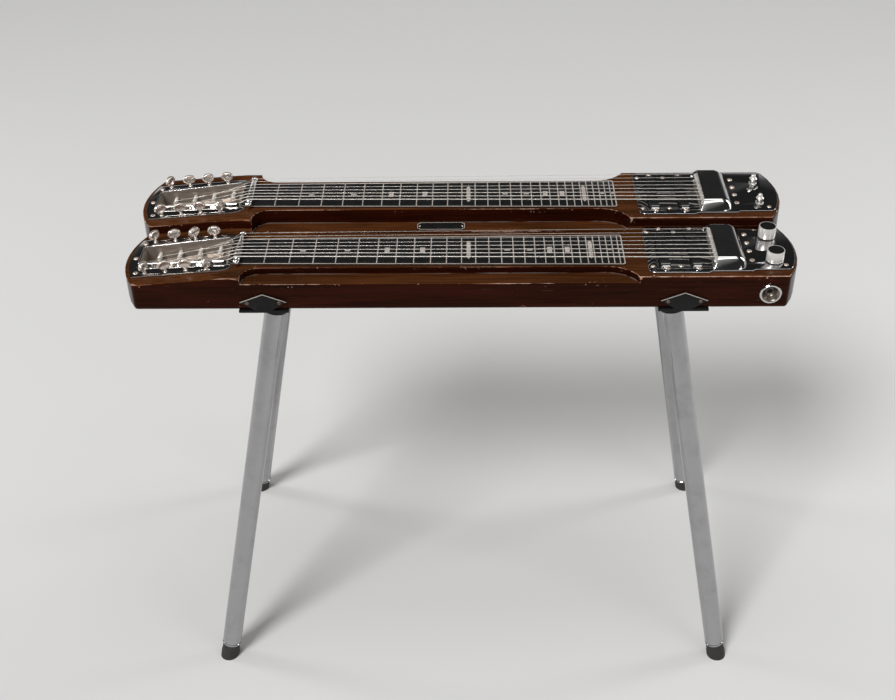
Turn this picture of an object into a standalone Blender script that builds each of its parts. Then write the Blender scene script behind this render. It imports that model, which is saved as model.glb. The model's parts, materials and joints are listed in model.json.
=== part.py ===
"""Double-neck lap steel guitar on four splayed legs, built as an assembly of separate parts.

X runs along the strings from the head (-X) to the tail (+X), Y from the player's side to the
rear, and Z up from the floor. Sizes are in metres. Parts of a neck are modelled in that neck's
frame: y = 0 on its centre line and z = 0 on the flat top of its plank.
"""

import math

import bmesh
import bpy
from mathutils import Matrix, Vector

# Clearance between pieces that touch
GAP = 0.0003

# Offset that keeps two cuts from sharing a face
CUT_OFFSET = 0.0001

# How far a cutter runs past the surface that it opens
CUT_REACH = 0.0100

# Steps in the small round corners
CORNER_STEPS = 3

# Driving lengths along the strings: head, scale and tail
KEYS_PER_ROW = 4
KEY_PITCH = 0.0250
HEAD_MARGIN = 0.0475
HEAD_LENGTH = HEAD_MARGIN + (KEYS_PER_ROW - 1) * KEY_PITCH
SCALE_LENGTH = 0.5715
TAIL_LENGTH = 0.0830
LAST_FRET = 29

# Places along the strings, with x = 0 in the middle of the planks
CORNER_X = (HEAD_LENGTH + SCALE_LENGTH + TAIL_LENGTH) / 2
NUT_X = HEAD_LENGTH - CORNER_X
BRIDGE_X = NUT_X + SCALE_LENGTH
BOARD_END_X = NUT_X + SCALE_LENGTH * (1 - 2 ** (-LAST_FRET / 12))

# Wooden planks
PLANK_WIDTH = 0.1175
PLANK_SPACING = 0.0020
END_BULGE = 0.0175
UNDERSIDE_Z = 0.5440
FRONT_THICKNESS = 0.0445
REAR_EXTRA_THICKNESS = 0.0099
LEDGE_Z = UNDERSIDE_Z + 0.0357
NECK_HALF_WIDTH = 0.0360
NECK_LEFT_X = NUT_X + 0.0280
NECK_RIGHT_X = BOARD_END_X - 0.0235
LEFT_COVE_RUN = 0.0220
RIGHT_COVE_RUN = 0.0380
COVE_STEPS = 6
PLANK_EDGE_BEVEL = 0.0030
END_ARC_STEPS = 8
POCKET_SIDE_ROOM = 0.0015
POCKET_FLOOR_ROOM = 0.0010
POCKET_SIDES = 12

# Fret plate
BOARD_LEFT_X = NUT_X - 0.0035
BOARD_THICKNESS = 0.0012
BOARD_HALF_AT_NUT = 0.0292
BOARD_HALF_AT_END = 0.03395
BOARD_CORNER_RADIUS = 0.0040

# Nut bar
NUT_RADIUS = 0.0040
NUT_LENGTH = 0.0730
NUT_BALL_RADIUS = 0.0042
NUT_BALL_ANGLES = (0, 0.8, 1.6)
NUT_GROOVE_RADIUS = 0.0030
NUT_GROOVE_RUN = 0.0010
NUT_SIDES = 12

# Sloped head
HEAD_HINGE_X = NUT_X - 0.0040
HEAD_SLOPE = math.atan2(0.010, 0.120)

# Tuning machines, in the head's frame: x = 0 at the hinge line and z = 0 on the wood
KEY_LAST_X = -0.0315
KEY_FIRST_X = KEY_LAST_X - (KEYS_PER_ROW - 1) * KEY_PITCH
KEY_ROW_Y = 0.0360
WORM_PITCH = 0.0024
WORM_FLANK = 0.28
WORM_TURNS = 2
WORM_END_SHARE = 0.35
WORM_SIDES = 6
WORM_CREST_RADIUS = 0.0028
WORM_ROOT_RADIUS = 0.0017
WHEEL_TEETH = 14
WHEEL_PITCH_RADIUS = WHEEL_TEETH * WORM_PITCH / (2 * math.pi)
WHEEL_TIP_RADIUS = WHEEL_PITCH_RADIUS + 0.0005
WHEEL_ROOT_RADIUS = WHEEL_PITCH_RADIUS - 0.00135
WHEEL_THICKNESS = 0.0018
WORM_TO_WHEEL = WHEEL_PITCH_RADIUS + 0.00245
WORM_Z = -WHEEL_TIP_RADIUS - 0.00055
KEY_SHAFT_RADIUS = 0.0015
KEY_SHAFT_SIDES = 6
KEY_SHAFT_PHASE = 0.1
KEY_COLLAR_RADIUS = 0.0030
KEY_COLLAR_HEIGHT = 0.0013
BUTTON_CENTRE_HEIGHT = 0.0105
BUTTON_HALF_WIDTH = 0.00825
BUTTON_HALF_DEPTH = 0.0024
BUTTON_HALF_HEIGHT = 0.00575
BUTTON_RINGS = 4
BUTTON_SIDES = 8
POST_RADIUS = 0.0026
POST_STUB_RADIUS = 0.0015
POST_TIP_FROM_CENTRE = 0.0062
POST_HOLE_RADIUS = 0.0007
POST_HOLE_INSET = 0.0030
POST_SIDES = 6

# How far each button is turned at rest, in degrees, front row to rear row
FRONT_KEY_TURNS = (70, 25, 5, 80, 60, 20, 50, 0)
REAR_KEY_TURNS = (35, 10, 0, 75, 65, 15, 10, 0)

# Tuner pan, in the head's frame
FLANGE_THICKNESS = 0.0015
FLANGE_HALF_WIDTH = PLANK_WIDTH / 2 - 0.01725
FLANGE_END_INSET = 0.0045
FLANGE_END_STEPS = 6
FLANGE_RIGHT_X = -0.0010
FLANGE_RIGHT_HALF = 0.0290
FLANGE_SHOULDER_X = -0.0160
WELL_LEFT_X = KEY_FIRST_X - 0.0095
WELL_RIGHT_X = -0.0080
WELL_HALF_LEFT = 0.0187
WELL_HALF_RIGHT = 0.0260
LIP_HEIGHT = 0.0040
LIP_SPREAD = 0.0020
LIP_END_INSET = 0.0005
PAN_WALL = 0.0014
PAN_FLOOR = 0.0017
WHEEL_FLOOR_ROOM = 0.00185
PAN_BOTTOM_Z = WORM_Z - WHEEL_TIP_RADIUS - WHEEL_FLOOR_ROOM - PAN_WALL
WELL_FLOOR_Z = PAN_BOTTOM_Z + PAN_FLOOR
CHANNEL_LEFT_X = KEY_FIRST_X - 0.0120
CHANNEL_RIGHT_X = KEY_LAST_X + 0.0150
CHANNEL_WALL_OUTER = KEY_ROW_Y + 0.0041
CHANNEL_WALL_INNER = KEY_ROW_Y + 0.0030
ROUT_CLEARANCE = 0.0004

# Strings, from the player's side: diameters in millimetres
STRING_GAUGES = (1.37, 1.07, 0.91, 0.76, 0.61, 0.46, 0.41, 0.36)
STRING_RADII = [gauge / 2000 for gauge in STRING_GAUGES]
STRING_SPREAD_NUT = 0.0545
STRING_SPREAD_BRIDGE = 0.0668
STRING_SIDES = 4
STRING_AT_POST = (0.0215, 0.0160, 0.0115, 0.0085)

# Bridge
BRIDGE_BAR_RADIUS = 0.0032
BRIDGE_BAR_LENGTH = 0.0710
BRIDGE_BAR_SIDES = 12
BRIDGE_FOOT_Y = 0.0300
BRIDGE_FOOT_SIZE = 0.0050
STRING_BITE = 0.0003
ANCHOR_X = BRIDGE_X + 0.0255
ANCHOR_THICKNESS = 0.0040
ANCHOR_HEIGHT = 0.0060
ANCHOR_LENGTH = 0.0700
ANCHOR_HOOK_DEPTH = 0.0015

# Control plate
PLATE_THICKNESS = 0.0015
PLATE_LEFT_X = BRIDGE_X - 0.0815
PLATE_HALF_WIDE = PLANK_WIDTH / 2 - 0.00625
PLATE_HALF_MIDDLE = PLANK_WIDTH / 2 - 0.00955
PLATE_HALF_NARROW = PLANK_WIDTH / 2 - 0.01275
PLATE_STEP_ONE_X = BRIDGE_X - 0.0095
PLATE_STEP_TWO_X = BRIDGE_X + 0.0425
PLATE_STEP_RUN = 0.0040
PLATE_END_INSET = 0.0032
PLATE_CORNER_RADIUS = 0.0080
PLATE_END_STEPS = 6

# Pickups
PICKUP_CENTRES_X = (BRIDGE_X - 0.0615, BRIDGE_X - 0.0240)
PICKUP_WIDTH = 0.0116
PICKUP_LENGTH = 0.0740
PICKUP_TOP = 0.0052
PICKUP_DEPTH = 0.0180
PICKUP_CORNER_RADIUS = 0.0020
PICKUP_CORNER_STEPS = 2
PICKUP_SLOT_CLEARANCE = 0.0005
CARRIER_THICKNESS = 0.0020
CARRIER_OVERHANG = 0.0030
EAR_HALF_WIDTH = 0.0044
EAR_LENGTH = 0.0117
EAR_THICKNESS = 0.0009
EAR_BITE = 0.0010
EAR_STEPS = 4
CHEEK_THICKNESS = 0.0010
CHEEK_HEIGHT = 0.0038

# Bridge cover: a pressed shell that rolls over at its tail end
COVER_BASE_LEFT_X = BRIDGE_X - 0.0055
COVER_TOP_LEFT_X = BRIDGE_X
COVER_ROLL_X = BRIDGE_X + 0.0225
COVER_ROLL_RUN = 0.0123
COVER_BASE_HALF = 0.0486
COVER_TOP_HALF = 0.0370
COVER_TOP_Z = 0.0138
COVER_WALL = 0.0010
COVER_BASE_CORNER = 0.0120
COVER_TOP_CORNER = 0.0020
COVER_STEPS = 4

# Bosses of the controls under the control plate
CONTROL_SIDES = 12

# Knobs on the front neck
KNOB_X = CORNER_X - 0.0135
KNOB_Y = 0.0275
KNOB_RADIUS = 0.0105
KNOB_HEIGHT = 0.0145
KNOB_LIFT = 0.0008
KNOB_EDGE = 0.0010
KNOB_SIDES = 16
KNOB_SHAFT_RADIUS = 0.0030
KNOB_SHAFT_DEPTH = 0.0080
POT_RADIUS = 0.0120
POT_DEPTH = 0.0130

# Toggle switches on the rear neck: heights are above the control plate
SWITCH_X = CORNER_X - 0.0115
SWITCH_Y = 0.0250
SWITCH_BODY_RADIUS = 0.0080
SWITCH_BODY_DEPTH = 0.0130
SWITCH_PIVOT_Z = -0.0040
SWITCH_PIVOT_RADIUS = 0.0030
SWITCH_PIVOT_ANGLES = (0, 0.9, 1.8)
SWITCH_SOCKET_RISE = 0.0010
SWITCH_MOUTH_RADIUS = 0.0038
SWITCH_STEM_RADIUS = 0.0018
SWITCH_SIDES = 12
BELL_RADIUS = 0.0047
BELL_WAIST_RADIUS = 0.0034
BELL_LOW = 0.0032
BELL_SKIRT_TOP = 0.0045
BELL_SHOULDER = 0.0110
BELL_TOP = 0.0120
BELL_STEPS = 3

# Jack cup on the front apron
JACK_X = CORNER_X - 0.0205
JACK_Z = UNDERSIDE_Z + 0.0195
JACK_RIM_RADIUS = 0.0130
JACK_RIM_THICKNESS = 0.0012
JACK_CUP_RADIUS = 0.0105
JACK_CUP_DEPTH = 0.0080
JACK_FLOOR_RADIUS = 0.0060
JACK_BORE_RADIUS = 0.0034
JACK_BARREL_RADIUS = 0.0056
JACK_DEPTH = 0.0230
JACK_WALL = 0.0012
JACK_SIDES = 14

# Leg rails and legs
RAIL_CENTRES_X = (0.1545 - CORNER_X, CORNER_X - 0.1215)
RAIL_WIDTH = 0.0600
RAIL_THICKNESS = 0.0030
KITE_WIDTH = 0.0570
KITE_PEAK = 0.0235
KITE_TIP = 0.0120
KITE_FOOT_WIDTH = 0.0200
KITE_THICKNESS = 0.0020
LEG_TOPS_X = (0.1665 - CORNER_X, CORNER_X - 0.1325)
LEG_FEET_X = (0.0635 - CORNER_X, CORNER_X - 0.0355)
LEG_TOP_Y = PLANK_WIDTH + PLANK_SPACING / 2 - 0.0281
LEG_FOOT_Y = LEG_TOP_Y + 0.0846
LEG_RADIUS = 0.0127
LEG_SIDES = 12
SOCKET_RADIUS = 0.0155
SOCKET_LENGTH = 0.0180
SOCKET_SIDES = 14
STUD_RADIUS = 0.0090
STUD_START = 0.0030
FOOT_RING_HEIGHT = 0.0240
FOOT_RADIUS = 0.0115
FOOT_FLARE = 0.0015
FOOT_FLARE_HEIGHT = 0.0100


class Neck:
    """One neck: its name, centre line, plank thickness and the height of its flat top."""

    def __init__(self, name, side, thickness, turns):
        self.name = name
        self.y = side * (PLANK_WIDTH + PLANK_SPACING) / 2
        self.side = side
        self.thickness = thickness
        self.top = UNDERSIDE_Z + thickness
        self.turns = turns


FRONT = Neck("front", -1, FRONT_THICKNESS, FRONT_KEY_TURNS)
REAR = Neck("rear", 1, FRONT_THICKNESS + REAR_EXTRA_THICKNESS, REAR_KEY_TURNS)


# Scene and materials

def clear_scene():
    """Remove every object that the file holds."""
    for obj in list(bpy.data.objects):
        bpy.data.objects.remove(obj)


def principled(name, colour, roughness, metallic):
    """Make a Principled material."""
    material = bpy.data.materials.new(name)
    material.use_nodes = True
    shader = material.node_tree.nodes["Principled BSDF"]
    shader.inputs["Base Color"].default_value = (*colour, 1.0)
    shader.inputs["Roughness"].default_value = roughness
    shader.inputs["Metallic"].default_value = metallic
    return material


# Mesh helpers

def new_object(name, mesh_builder):
    """Turn a bmesh into an object in the scene, with its faces pointing out."""
    bmesh.ops.recalc_face_normals(mesh_builder, faces=mesh_builder.faces)
    mesh = bpy.data.meshes.new(name)
    mesh_builder.to_mesh(mesh)
    mesh_builder.free()
    obj = bpy.data.objects.new(name, mesh)
    bpy.context.scene.collection.objects.link(obj)
    return obj


def prism(name, outline, low, high):
    """Extrude a closed XY outline from z = low to z = high."""
    builder = bmesh.new()
    face = builder.faces.new([builder.verts.new((x, y, low)) for x, y in outline])
    result = bmesh.ops.extrude_face_region(builder, geom=[face])
    raised = [item for item in result["geom"] if isinstance(item, bmesh.types.BMVert)]
    bmesh.ops.translate(builder, vec=(0, 0, high - low), verts=raised)
    return new_object(name, builder)


def box(name, x_range, y_range, z_range):
    """Make a box from its ranges."""
    outline = [(x_range[0], y_range[0]), (x_range[1], y_range[0])]
    outline += [(x_range[1], y_range[1]), (x_range[0], y_range[1])]
    return prism(name, outline, *z_range)


def loft(name, rows):
    """Join closed rows of points, each with the same number, and close both ends."""
    builder = bmesh.new()
    rings = [[builder.verts.new(point) for point in row] for row in rows]
    for first, second in zip(rings, rings[1:]):
        for index in range(len(first)):
            after = (index + 1) % len(first)
            builder.faces.new((first[index], first[after], second[after], second[index]))
    builder.faces.new(rings[0])
    builder.faces.new(rings[-1])
    return new_object(name, builder)


def at_height(outline, z):
    """Row of points of an XY outline at one height."""
    return [(x, y, z) for x, y in outline]


def lathe(name, profile, sides, phase=0.0):
    """Turn (radius, z) points about the Z axis; a radius of zero closes an end to a point."""
    builder = bmesh.new()
    rings = []
    for radius, z in profile:
        if radius == 0:
            rings.append([builder.verts.new((0, 0, z))])
            continue
        angles = [2 * math.pi * (k + phase) / sides for k in range(sides)]
        rings.append([builder.verts.new((radius * math.cos(a), radius * math.sin(a), z)) for a in angles])
    for lower, upper in zip(rings, rings[1:]):
        for k in range(sides):
            after = (k + 1) % sides
            corners = [lower[k % len(lower)], lower[after % len(lower)]]
            corners += [upper[after % len(upper)], upper[k % len(upper)]]
            builder.faces.new(list(dict.fromkeys(corners)))
    return new_object(name, builder)


def tube(name, points, radius, sides):
    """Sweep a round section along a polyline that runs mainly along X, with flat ends."""
    angles = [2 * math.pi * k / sides for k in range(sides)]
    rows = [
        [(x, y + radius * math.cos(a), z + radius * math.sin(a)) for a in angles]
        for x, y, z in points
    ]
    return loft(name, rows)


def round_hole(name, radius, low, high, sides):
    """Cutter for a hole round a turned piece: its flats clear the piece's corners."""
    clear = (radius + GAP) / math.cos(math.pi / sides)
    return lathe(name, [(0, low), (clear, low), (clear, high), (0, high)], sides, 0.5)


def transform(obj, matrix):
    """Move an object's mesh by a matrix."""
    obj.data.transform(matrix)
    return obj


def along_y(obj, x, y, z):
    """Turn a shape from the Z axis to the +Y axis and move it."""
    turn = Matrix.Rotation(-math.pi / 2, 4, "X")
    return transform(obj, Matrix.Translation((x, y, z)) @ turn)


def combine(obj, tools, operation):
    """Join tools to an object or cut them from it, and keep the result as its mesh."""
    for tool in tools:
        modifier = obj.modifiers.new(tool.name, "BOOLEAN")
        modifier.operation = operation
        modifier.object = tool
    bpy.context.view_layer.update()
    graph = bpy.context.evaluated_depsgraph_get()
    result = bpy.data.meshes.new_from_object(obj.evaluated_get(graph))
    obj.modifiers.clear()
    obj.data = result
    for tool in tools:
        bpy.data.objects.remove(tool)
    return obj


def join(obj, *tools):
    """Union tools with an object."""
    return combine(obj, tools, "UNION")


def cut(obj, *tools):
    """Cut tools from an object."""
    return combine(obj, tools, "DIFFERENCE")


def bevel_edges(obj, width, angle):
    """Bevel the sharp edges of an object's mesh."""
    modifier = obj.modifiers.new("edge", "BEVEL")
    modifier.width = width
    modifier.segments = 2
    modifier.limit_method = "ANGLE"
    modifier.angle_limit = angle
    return combine(obj, [], "UNION")


def finish(obj, material, location=(0, 0, 0), parent=None, rotation=(0, 0, 0)):
    """Shade an object, give it its material and put it in its place."""
    obj.data.materials.clear()
    obj.data.materials.append(material)
    obj.data.shade_smooth()
    obj.data.set_sharp_from_angle(angle=math.radians(35))
    obj.parent = parent
    obj.location = location
    obj.rotation_euler = rotation
    return obj


def empty(name, location, rotation=(0, 0, 0)):
    """Make an empty that carries other objects."""
    obj = bpy.data.objects.new(name, None)
    bpy.context.scene.collection.objects.link(obj)
    obj.location = location
    obj.rotation_euler = rotation
    return obj


# Outlines

def end_radius():
    """Radius of a plank's rounded end, from its chord and its bulge."""
    half = PLANK_WIDTH / 2
    return (half * half + END_BULGE * END_BULGE) / (2 * END_BULGE)


def end_x(y, inset=0.0):
    """Distance from the middle to a plank's end at a given y, less an inset."""
    radius = end_radius()
    return CORNER_X + END_BULGE - inset - (radius - math.sqrt(radius * radius - y * y))


def end_arc(half, inset, steps):
    """Points along a plank's tail end from y = -half to y = half."""
    rows = [half * (2 * k / steps - 1) for k in range(steps + 1)]
    return [(end_x(y, inset), y) for y in rows]


def plank_outline():
    """Outline of a plank seen from above."""
    tail = end_arc(PLANK_WIDTH / 2, 0.0, END_ARC_STEPS)
    head = [(-x, -y) for x, y in tail]
    return tail + head


def cove(start_x, direction, run):
    """Arc that leaves the neck's wall and reaches the apron after a given run."""
    rise = PLANK_WIDTH / 2 - NECK_HALF_WIDTH
    sweep = 2 * math.atan2(rise, run)
    radius = run / math.sin(sweep)
    angles = [sweep * k / COVE_STEPS for k in range(COVE_STEPS + 1)]
    return [
        (start_x + direction * radius * math.sin(a), NECK_HALF_WIDTH + radius * (1 - math.cos(a)))
        for a in angles
    ]


def ledge_outline(side):
    """Outline of the part of a plank that is cut down to the ledge on one side."""
    beyond = PLANK_WIDTH / 2 + CUT_REACH
    left = cove(NECK_LEFT_X, -1, LEFT_COVE_RUN)
    right = cove(NECK_RIGHT_X, 1, RIGHT_COVE_RUN)
    points = list(reversed(left)) + right
    points += [(right[-1][0], beyond), (left[-1][0], beyond)]
    return [(x, side * y) for x, y in points]


def round_corner(centre, radius, start, stop, steps):
    """Points on an arc, with angles in degrees."""
    angles = [math.radians(start + (stop - start) * k / steps) for k in range(steps + 1)]
    return [(centre[0] + radius * math.cos(a), centre[1] + radius * math.sin(a)) for a in angles]


def well_half(x, extra=0.0):
    """Half width of the tuner well at a given x of the head's frame."""
    share = (x - WELL_LEFT_X) / (WELL_RIGHT_X - WELL_LEFT_X)
    return WELL_HALF_LEFT + (WELL_HALF_RIGHT - WELL_HALF_LEFT) * share + extra


def well_outline(left, right, extra):
    """Tapered outline of the tuner well between two x values."""
    return [
        (left, -well_half(left, extra)),
        (right, -well_half(right, extra)),
        (right, well_half(right, extra)),
        (left, well_half(left, extra)),
    ]


def flange_outline():
    """Outline of the tuner pan's flange."""
    run = FLANGE_RIGHT_X - FLANGE_SHOULDER_X
    rise = FLANGE_HALF_WIDTH - FLANGE_RIGHT_HALF
    angles = [math.pi / 2 * k / CORNER_STEPS for k in range(CORNER_STEPS + 1)]
    shoulder = [
        (FLANGE_SHOULDER_X + run * math.sin(a), FLANGE_RIGHT_HALF + rise * math.cos(a)) for a in angles
    ]
    arc = end_arc(FLANGE_HALF_WIDTH, FLANGE_END_INSET, FLANGE_END_STEPS)
    left = [(-x - HEAD_HINGE_X, y) for x, y in arc]
    right = [(x, -y) for x, y in shoulder]
    return left + shoulder + list(reversed(right))


def head_point(neck_x, z):
    """World place of a point of the head's frame, on the centre line."""
    x = HEAD_HINGE_X + neck_x * math.cos(HEAD_SLOPE) - z * math.sin(HEAD_SLOPE)
    height = neck_x * math.sin(HEAD_SLOPE) + z * math.cos(HEAD_SLOPE)
    return x, height


# Wooden planks

def make_plank(neck, material):
    """A plank with its neck, ledges, coves, sloped head, routs and, in front, the jack bore."""
    plank = prism(f"{neck.name}_body", plank_outline(), -neck.thickness, 0)
    bevel_edges(plank, PLANK_EDGE_BEVEL, math.radians(60))
    ledge = LEDGE_Z - neck.top
    tools = [prism("ledge", ledge_outline(side), ledge, CUT_REACH) for side in (-1, 1)]
    tools.append(head_wedge())
    tools += [placed_in_head(tool) for tool in tuner_rout()]
    tools += pickup_and_control_routs(neck)
    if neck is FRONT:
        depth = JACK_DEPTH + POCKET_FLOOR_ROOM
        bore = round_hole("jack_bore", JACK_CUP_RADIUS + JACK_WALL, -CUT_REACH, depth, JACK_SIDES)
        tools.append(along_y(bore, JACK_X, -PLANK_WIDTH / 2, JACK_Z - neck.top))
    cut(plank, *tools)
    return finish(plank, material, location=(0, neck.y, neck.top))


def head_wedge():
    """The wood that is taken off to slope the head."""
    reach = 2 * HEAD_LENGTH
    drop = reach * math.tan(HEAD_SLOPE)
    outline = [(HEAD_HINGE_X, 0.0), (HEAD_HINGE_X, CUT_REACH), (HEAD_HINGE_X - reach, CUT_REACH)]
    outline.append((HEAD_HINGE_X - reach, -drop))
    wedge = prism("head_wedge", outline, -PLANK_WIDTH, PLANK_WIDTH)
    return transform(wedge, Matrix.Rotation(math.pi / 2, 4, "X"))


def placed_in_head(obj):
    """Move a shape from the head's frame to the neck's frame."""
    return transform(obj, Matrix.Translation((HEAD_HINGE_X, 0, 0)) @ Matrix.Rotation(-HEAD_SLOPE, 4, "Y"))


def tuner_rout():
    """The room in the wood for the tuner pan."""
    depth = PAN_BOTTOM_Z - ROUT_CLEARANCE
    wide = CHANNEL_WALL_OUTER + ROUT_CLEARANCE
    left = CHANNEL_LEFT_X - ROUT_CLEARANCE
    right = CHANNEL_RIGHT_X + ROUT_CLEARANCE
    channel = box("channel_rout", (left, right), (-wide, wide), (depth, 2 * CUT_REACH))
    grown = PAN_WALL + ROUT_CLEARANCE
    outline = well_outline(WELL_LEFT_X - grown, WELL_RIGHT_X + grown, grown)
    return [channel, prism("well_rout", outline, depth - CUT_OFFSET, 2 * CUT_REACH)]


def pickup_and_control_routs(neck):
    """The pockets under the control plate."""
    first, last = PICKUP_CENTRES_X
    reach = PICKUP_WIDTH / 2 + CARRIER_OVERHANG + POCKET_SIDE_ROOM
    floor = -PICKUP_DEPTH - CARRIER_THICKNESS - POCKET_FLOOR_ROOM
    half = PICKUP_LENGTH / 2 + POCKET_SIDE_ROOM
    pockets = [box("pickup_rout", (first - reach, last + reach), (-half, half), (floor, CUT_REACH))]
    if neck is FRONT:
        radius, depth, x, y = POT_RADIUS, POT_DEPTH, KNOB_X, KNOB_Y
    else:
        radius, depth, x, y = SWITCH_BODY_RADIUS, SWITCH_BODY_DEPTH, SWITCH_X, SWITCH_Y
    wide = radius + POCKET_SIDE_ROOM
    bottom = -depth - POCKET_FLOOR_ROOM
    for side in (-1, 1):
        profile = [(0, bottom), (wide, bottom), (wide, CUT_REACH), (0, CUT_REACH)]
        pocket = lathe("control_rout", profile, POCKET_SIDES)
        pockets.append(transform(pocket, Matrix.Translation((x, side * y, 0))))
    return pockets


# Fret plate and nut

def board_half(x):
    """Half width of the fret plate at a given x."""
    share = (x - NUT_X) / (BOARD_END_X - NUT_X)
    return BOARD_HALF_AT_NUT + (BOARD_HALF_AT_END - BOARD_HALF_AT_NUT) * share


def make_fretboard(neck, material):
    """The thin tapered plate that carries the printed fret lines."""
    radius = BOARD_CORNER_RADIUS
    centre = (BOARD_END_X - radius, BOARD_HALF_AT_END - radius)
    corner = round_corner(centre, radius, 0, 90, CORNER_STEPS)
    outline = [(BOARD_LEFT_X, -board_half(BOARD_LEFT_X))]
    outline += [(x, -y) for x, y in reversed(corner)]
    outline += corner
    outline.append((BOARD_LEFT_X, board_half(BOARD_LEFT_X)))
    board = prism(f"{neck.name}_fretboard", outline, GAP, GAP + BOARD_THICKNESS)
    return finish(board, material, location=(0, neck.y, neck.top))


def nut_centre_z():
    """Height of the nut bar's centre above the plank."""
    return GAP + BOARD_THICKNESS + GAP + NUT_BALL_RADIUS


def make_nut(neck, material):
    """The round bar that the strings cross, with a groove before each ball end."""
    half = NUT_LENGTH / 2
    ball = NUT_BALL_RADIUS
    groove = half - 2 * ball
    end = [(ball * math.sin(a), half - ball + ball * math.cos(a)) for a in NUT_BALL_ANGLES]
    side = [(NUT_GROOVE_RADIUS, groove + NUT_GROOVE_RUN), (NUT_RADIUS, groove)]
    profile = end + side + [(r, -z) for r, z in reversed(side)] + [(r, -z) for r, z in reversed(end)]
    bar = lathe(f"{neck.name}_nut_bar", list(reversed(profile)), NUT_SIDES)
    along_y(bar, 0, 0, 0)
    return finish(bar, material, location=(NUT_X, neck.y, neck.top + nut_centre_z()))


# Tuning machines

def key_x(index):
    """Place of a key along the head, counted from the head's end."""
    return KEY_FIRST_X + KEY_PITCH * index


def make_pan(neck, parent, material):
    """The pressed pan: flange, raised lip, well, gear channels and the bearing holes."""
    flange_top = GAP + FLANGE_THICKNESS
    lip_top = flange_top + LIP_HEIGHT
    pan = prism(f"{neck.name}_tuner_pan", flange_outline(), GAP, flange_top)
    sides = (CHANNEL_LEFT_X, CHANNEL_RIGHT_X)
    wide = CHANNEL_WALL_OUTER
    in_flange = GAP + FLANGE_THICKNESS / 2
    channel = box("channel", sides, (-wide, wide), (PAN_BOTTOM_Z, in_flange))
    low_well = well_outline(WELL_LEFT_X - PAN_WALL, WELL_RIGHT_X + PAN_WALL, PAN_WALL)
    lip_right = WELL_RIGHT_X - LIP_END_INSET
    spread = PAN_WALL + LIP_SPREAD
    lip_base = well_outline(WELL_LEFT_X - spread, lip_right, spread)
    lip_ridge = well_outline(WELL_LEFT_X - PAN_WALL, lip_right, PAN_WALL)
    rows = [at_height(lip_base, in_flange), at_height(lip_base, flange_top), at_height(lip_ridge, lip_top)]
    join(
        pan,
        channel,
        prism("well_walls", low_well, PAN_BOTTOM_Z + CUT_OFFSET, in_flange + CUT_OFFSET),
        loft("lip", rows),
    )
    inner = well_outline(WELL_LEFT_X, WELL_RIGHT_X, 0.0)
    tools = [prism("well", inner, WELL_FLOOR_Z, lip_top + CUT_REACH)]
    for side in (-1, 1):
        tools.append(gear_channel(side))
        for index in range(KEYS_PER_ROW):
            tools += bearing_holes(key_x(index), side)
    cut(pan, *tools)
    return finish(pan, material, parent=parent)


def gear_channel(side):
    """The space beside the well in which one row of worms and wheels turns."""
    left = CHANNEL_LEFT_X - CUT_REACH
    right = CHANNEL_RIGHT_X + CUT_REACH
    inner_left = well_half(left, PAN_WALL + CUT_OFFSET)
    inner_right = well_half(right, PAN_WALL + CUT_OFFSET)
    wall = CHANNEL_WALL_INNER
    outline = [(left, inner_left), (right, inner_right), (right, wall), (left, wall)]
    outline = [(x, side * y) for x, y in outline]
    return prism("gear_channel", outline, PAN_BOTTOM_Z + PAN_WALL, GAP + CUT_OFFSET)


def bearing_holes(x, side):
    """Holes for a key's shaft, for its post and for the post's stub."""
    y = side * KEY_ROW_Y
    deep = 2 * PAN_BOTTOM_Z
    reach = KEY_ROW_Y - CHANNEL_WALL_OUTER + CHANNEL_WALL_INNER
    shaft = round_hole("shaft_hole", KEY_SHAFT_RADIUS, deep, -deep, KEY_SHAFT_SIDES)
    post = round_hole("post_hole", POST_RADIUS, 0, reach, POST_SIDES)
    stub = round_hole("stub_hole", POST_STUB_RADIUS, 0, reach, KEY_SHAFT_SIDES)
    return [
        transform(shaft, Matrix.Translation((x, y, 0))),
        along_y(post, x + WORM_TO_WHEEL, -reach if side < 0 else 0, WORM_Z),
        along_y(stub, x + WORM_TO_WHEEL, y if side > 0 else y - reach, WORM_Z),
    ]


def make_worm(name):
    """A closed worm about the Z axis, its thread crest at +X on z = 0."""
    sections = WORM_SIDES * WORM_TURNS
    profile = ((-WORM_FLANK, WORM_ROOT_RADIUS), (0.0, WORM_CREST_RADIUS), (WORM_FLANK, WORM_ROOT_RADIUS))
    builder = bmesh.new()
    rows = []
    for step in range(sections + 1):
        angle = 2 * math.pi * step / WORM_SIDES
        lift = WORM_PITCH * (step / WORM_SIDES - WORM_TURNS / 2)
        rows.append([
            builder.verts.new((radius * math.cos(angle), radius * math.sin(angle), lift + WORM_PITCH * share))
            for share, radius in profile
        ])
    for step in range(sections):
        for k in range(2):
            builder.faces.new((rows[step][k], rows[step + 1][k], rows[step + 1][k + 1], rows[step][k + 1]))
        above = step + WORM_SIDES
        if above + 1 <= sections:
            builder.faces.new((rows[step][2], rows[step + 1][2], rows[above + 1][0], rows[above][0]))
    bottom = [rows[step][0] for step in range(WORM_SIDES + 1)] + [rows[0][2], rows[0][1]]
    top = [rows[step][2] for step in range(sections - WORM_SIDES, sections + 1)]
    top += [rows[sections][1], rows[sections][0]]
    reach = WORM_PITCH * (WORM_TURNS / 2 + WORM_END_SHARE)
    for loop, height in ((bottom, -reach), (top, reach)):
        centre = builder.verts.new((0, 0, height))
        for index, corner in enumerate(loop):
            builder.faces.new((corner, loop[(index + 1) % len(loop)], centre))
    return new_object(name, builder)


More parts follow.
